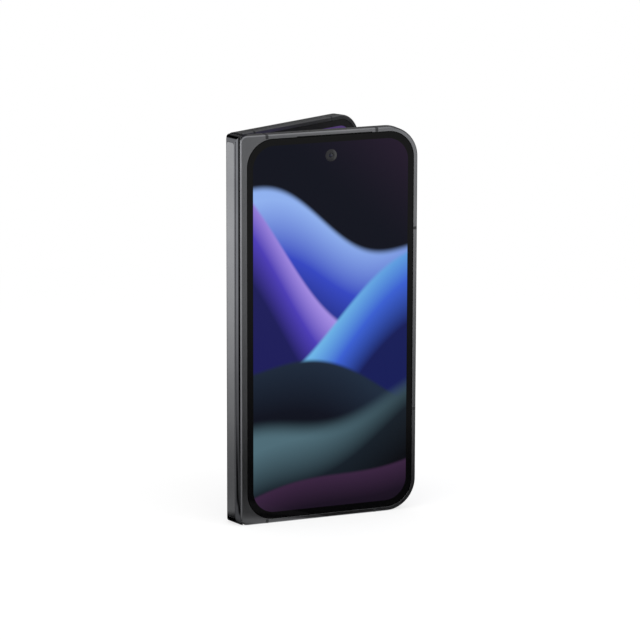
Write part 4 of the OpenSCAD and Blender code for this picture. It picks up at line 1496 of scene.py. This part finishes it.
@dataclass
class Studio:
    """Camera, pale floor, soft lamps and the dark tent that glossy rays see."""

    eye: tuple[float, float, float] = (-565.5, -1372.5, 407.3)
    yaw: float = 22.286
    pitch: float = 12.454
    roll: float = 0.1468
    focal_px: float = 3868.33
    picture_px: float = 640.0
    sensor_mm: float = 36.0
    world_glow: float = 0.85
    floor_half: float = 4000.0
    aim_z: float = 78.0
    lamps: tuple[tuple[str, tuple[float, float, float], float, float], ...] = (
        ("lamp_top", (0.0, -150.0, 900.0), 0.9, 4.0),
        ("lamp_left", (-900.0, -300.0, 500.0), 0.8, 2.5),
        ("lamp_right", (800.0, -700.0, 450.0), 0.8, 2.0),
    )
    tent_r: float = 300.0
    tent_h: float = 620.0
    tent_up: float = 0.3
    ramp_low: float = -0.5
    ramp_span: float = 2.5
    # The wall's glow turns to the lid's between these depths below its top
    crown_down: tuple[float, float] = (40.0, 10.0)
    lid: float = 0.8
    # Painted shade: a dark spot of the tent's floor beside the spine's foot, standing in for
    # contact shade in the reflections there; its middle and its two radii
    shade_spot: tuple[float, float, float] = (-41.0, 6.0, 0.0)
    shade_spot_r: tuple[float, float] = (8.0, 16.0)
    # Glow of the wall by side, in degrees from 180 to 540: what is seen high up and low down
    high: Table = (
        (180, 1.5), (200, 1.7), (203, 0.04), (213, 0.04), (219, 1.3), (237, 1.3), (243, 0.04),
        (262, 0.06), (272, 0.38), (284, 0.38), (300, 0.38), (304, 1.1), (322, 1.1), (332, 0.06),
        (360, 0.06), (372, 0.3), (385, 0.3), (398, 0.17), (450, 0.1), (460, 0.0), (488, 0.0),
        (494, 0.85), (512, 0.85), (530, 1.2), (540, 1.5),
    )
    low: Table = (
        (180, 0.3), (200, 0.3), (203, 0.02), (213, 0.02), (219, 0.1), (237, 0.1), (243, -0.05),
        (262, -0.1), (272, 0.0), (284, 0.0), (300, 0.0), (304, -0.05), (322, -0.1), (332, 0.0),
        (360, 0.03), (372, 0.1), (385, 0.1), (398, 0.03), (450, 0.03), (460, 0.0), (488, 0.0),
        (494, 0.1), (512, 0.12), (540, 0.3),
    )

    def build_camera(self) -> None:
        """Sets the camera where the photograph was seen from."""
        y, e, r = (math.radians(v) for v in (self.yaw, self.pitch, self.roll))
        ahead = Vector((math.sin(y) * math.cos(e), math.cos(y) * math.cos(e), -math.sin(e)))
        right = Vector((math.cos(y), -math.sin(y), 0.0))
        up = right.cross(ahead)
        across = right * math.cos(r) + up * math.sin(r)
        above = up * math.cos(r) - right * math.sin(r)
        data = bpy.data.cameras.new("camera")
        data.sensor_width = self.sensor_mm
        data.lens = self.focal_px / self.picture_px * self.sensor_mm
        data.clip_start, data.clip_end = 0.05, 20.0
        eye = bpy.data.objects.new("camera", data)
        turn = Matrix((across, above, -ahead)).transposed()
        eye.matrix_world = Matrix.Translation(Vector(self.eye) * MM) @ turn.to_4x4()
        bpy.context.scene.collection.objects.link(eye)
        bpy.context.scene.camera = eye

    def build_world(self) -> None:
        """Gives the world a plain soft light, and white where rays look at it."""
        world = bpy.data.worlds.new("studio")
        bpy.context.scene.world = world
        world.use_nodes = True
        world.cycles.sampling_method = "NONE"
        tree = world.node_tree
        tree.nodes.clear()
        seen = self.seen(tree)
        light = add(tree, "Background", inputs={0: linear("#ffffff"), 1: self.world_glow})
        white = add(tree, "Background", inputs={0: linear("#ffffff"), 1: 1.0})
        mix = add(tree, "MixShader", inputs={0: seen, 1: light, 2: white})
        add(tree, "OutputWorld", inputs={"Surface": mix})

    @staticmethod
    def seen(tree: Tree) -> bpy.types.Node:
        """One for camera, glossy and transmission rays, nought for the others."""
        path = add(tree, "LightPath").outputs
        most = add(tree, "Math", MOST, {0: path["Is Camera Ray"], 1: path["Is Glossy Ray"]})
        return add(tree, "Math", MOST, {0: most, 1: path["Is Transmission Ray"]})

    def build_floor(self) -> None:
        """Lays the white floor, which keeps a soft shadow under the phone."""
        corners = np.array([[[-1, -1, 0], [1, -1, 0]], [[-1, 1, 0], [1, 1, 0]]], float)
        floor = linked("floor", loft(corners * self.floor_half, around=False))
        mat, tree = blank("Paper_matt_white")
        paper = add(tree, "BsdfDiffuse", inputs={0: linear("#f4f4f4")})
        white = add(tree, "Emission", inputs={0: linear("#ffffff"), 1: 1.0})
        # The floor's own glow grows from 0.7 beside the phone to 1, half a metre off
        place = add(tree, "TexCoord").outputs["Object"]
        far = add(tree, "VectorMath", LENGTH, {0: place}).outputs["Value"]
        glow = add(tree, "MapRange", SMOOTH, {0: far, 1: 0.1, 2: 0.5, 3: 0.7, 4: 1.0})
        share = add(tree, "Math", TIMES, {0: self.seen(tree), 1: glow})
        mix = add(tree, "MixShader", inputs={0: share, 1: paper, 2: white})
        add(tree, "OutputMaterial", inputs={"Surface": mix})
        mat.cycles.emission_sampling = "NONE"
        floor.data.materials.append(mat)

    def build_lamps(self) -> None:
        """Hangs broad soft lamps round the phone: name, place, side in metres and watts."""
        for name, place, size, power in self.lamps:
            data = bpy.data.lights.new(name, "AREA")
            data.shape, data.size, data.energy = "SQUARE", size, power
            lamp = bpy.data.objects.new(name, data)
            lamp.location = Vector(place) * MM
            aim = Vector((0.0, 0.0, self.aim_z * MM)) - lamp.location
            lamp.rotation_euler = aim.to_track_quat("-Z", "Y").to_euler()
            lamp.visible_glossy = False
            bpy.context.scene.collection.objects.link(lamp)

    def build_tent(self) -> None:
        """Sets a tent of dark cloth and soft panels that only glossy rays see.

        It is a floor disc, a round wall and a lid: radius (cos t, sin t) at rising heights.
        """
        ring = circle(0, 0, 1, 96)
        low, high = self.tent_up, self.tent_up + self.tent_h
        rows = [(self.tent_r * k / 8, low) for k in range(1, 9)]
        rows += [(self.tent_r, low + self.tent_h * k / 8) for k in range(1, 9)]
        rows += [(self.tent_r * k / 8, high) for k in range(7, 0, -1)]
        tent = linked("tent", stack(lambda r: ring * r, rows))
        tent.visible_camera = tent.visible_diffuse = tent.visible_shadow = False
        tent.visible_transmission = False
        tent.data.materials.append(self.tent_material())

    def fill(self, ramp: bpy.types.Node, levels: Table) -> None:
        """Writes pairs of angle and level into a ramp, which holds only 0 to 1.

        Args:
            ramp: Colour ramp node.
            levels: Pairs of angle, 180 to 540 degrees, and level, -0.5 to 2.
        """
        stops = ramp.color_ramp.elements
        while len(stops) > 1:
            stops.remove(stops[-1])
        for k, (degrees, level) in enumerate(levels):
            stop = stops.new((degrees - 180) / 360) if k else stops[0]
            stop.color = (*[(level - self.ramp_low) / self.ramp_span] * 3, 1.0)

    def tent_material(self) -> bpy.types.Material:
        """Builds cloth whose glow depends on the side of the tent and on the height.

        The share between the two ramps rises with z + distance tan(pitch), which is the
        height at the phone of the camera's sight line to that place.

        Returns:
            The material.
        """
        mat, tree = blank("Cloth_tent_lit")
        place = add(tree, "TexCoord").outputs["Object"]
        split = add(tree, "SeparateXYZ", inputs={0: place}).outputs
        angle = add(tree, "Math", {"operation": "ARCTAN2"}, {0: split[1], 1: split[0]})
        side = add(tree, "Math", SCALED, {0: angle, 1: 1 / (2 * math.pi), 2: 0.5})
        ramps = [add(tree, "ValToRGB", inputs={0: side}) for _ in range(2)]
        for ramp, levels in zip(ramps, (self.low, self.high)):
            self.fill(ramp, levels)
        flat = add(tree, "VectorMath", TIMES, {0: place, 1: (1.0, 1.0, 0.0)})
        far = add(tree, "VectorMath", LENGTH, {0: flat}).outputs["Value"]
        slope = math.tan(math.radians(self.pitch))
        height = add(tree, "Math", SCALED, {0: far, 1: slope, 2: split[2]})
        rise = add(tree, "MapRange", SMOOTH, {0: height, 1: 0.0, 2: 0.85 * BODY_H * MM})
        held = add(tree, "Mix", COLOURS, {0: rise, 6: ramps[0], 7: ramps[1]})
        level = add(tree, "Math", SCALED, {0: held.outputs[2], 1: self.ramp_span, 2: self.ramp_low})
        level = add(tree, "Math", MOST, {0: level, 1: 0.0})
        # Painted shade: the tent's glow fades to nought near the spine's foot, as contact shade in
        # the reflections of the lowest surfaces
        shade_spot = tuple(v * MM for v in self.shade_spot)
        off = add(tree, "VectorMath", {"operation": "DISTANCE"}, {0: place, 1: shade_spot})
        near, far = (r * MM for r in self.shade_spot_r)
        painted_shade = add(tree, "MapRange", SMOOTH, {0: off.outputs["Value"], 1: near, 2: far})
        level = add(tree, "Math", TIMES, {0: level, 1: painted_shade})
        low, high = ((self.tent_h - down) * MM for down in self.crown_down)
        crown = add(tree, "MapRange", inputs={0: split[2], 1: low, 2: high})
        level = add(tree, "Mix", inputs={0: crown, 2: level, 3: self.lid})
        glow = add(tree, "Emission", inputs={0: level, 1: 1.0})
        add(tree, "OutputMaterial", inputs={"Surface": glow})
        mat.cycles.emission_sampling = "NONE"
        return mat

    def build(self) -> None:
        """Sets up everything round the phone."""
        self.build_camera()
        self.build_world()
        self.build_floor()
        self.build_lamps()
        self.build_tent()
        bpy.context.scene.view_settings.view_transform = "Standard"


def dress_cad_nodes() -> None:
    """Gives every CAD node that stays in view its own finish."""
    for finish, names in CAD_FINISH.items():
        for name in names.split():
            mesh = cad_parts[name].data
            mesh.materials.clear()
            mesh.materials.append(finish.made())
            log.info("%s: %s", name, finish.name)


def main() -> None:
    """Builds the studio and the phone, in order."""
    logging.basicConfig(level=logging.INFO, format="%(message)s")
    Studio().build()
    CoverHalf().build()
    CameraHalf().build()
    Spine().build()
    dress_cad_nodes()


if __name__ == "__main__":
    main()
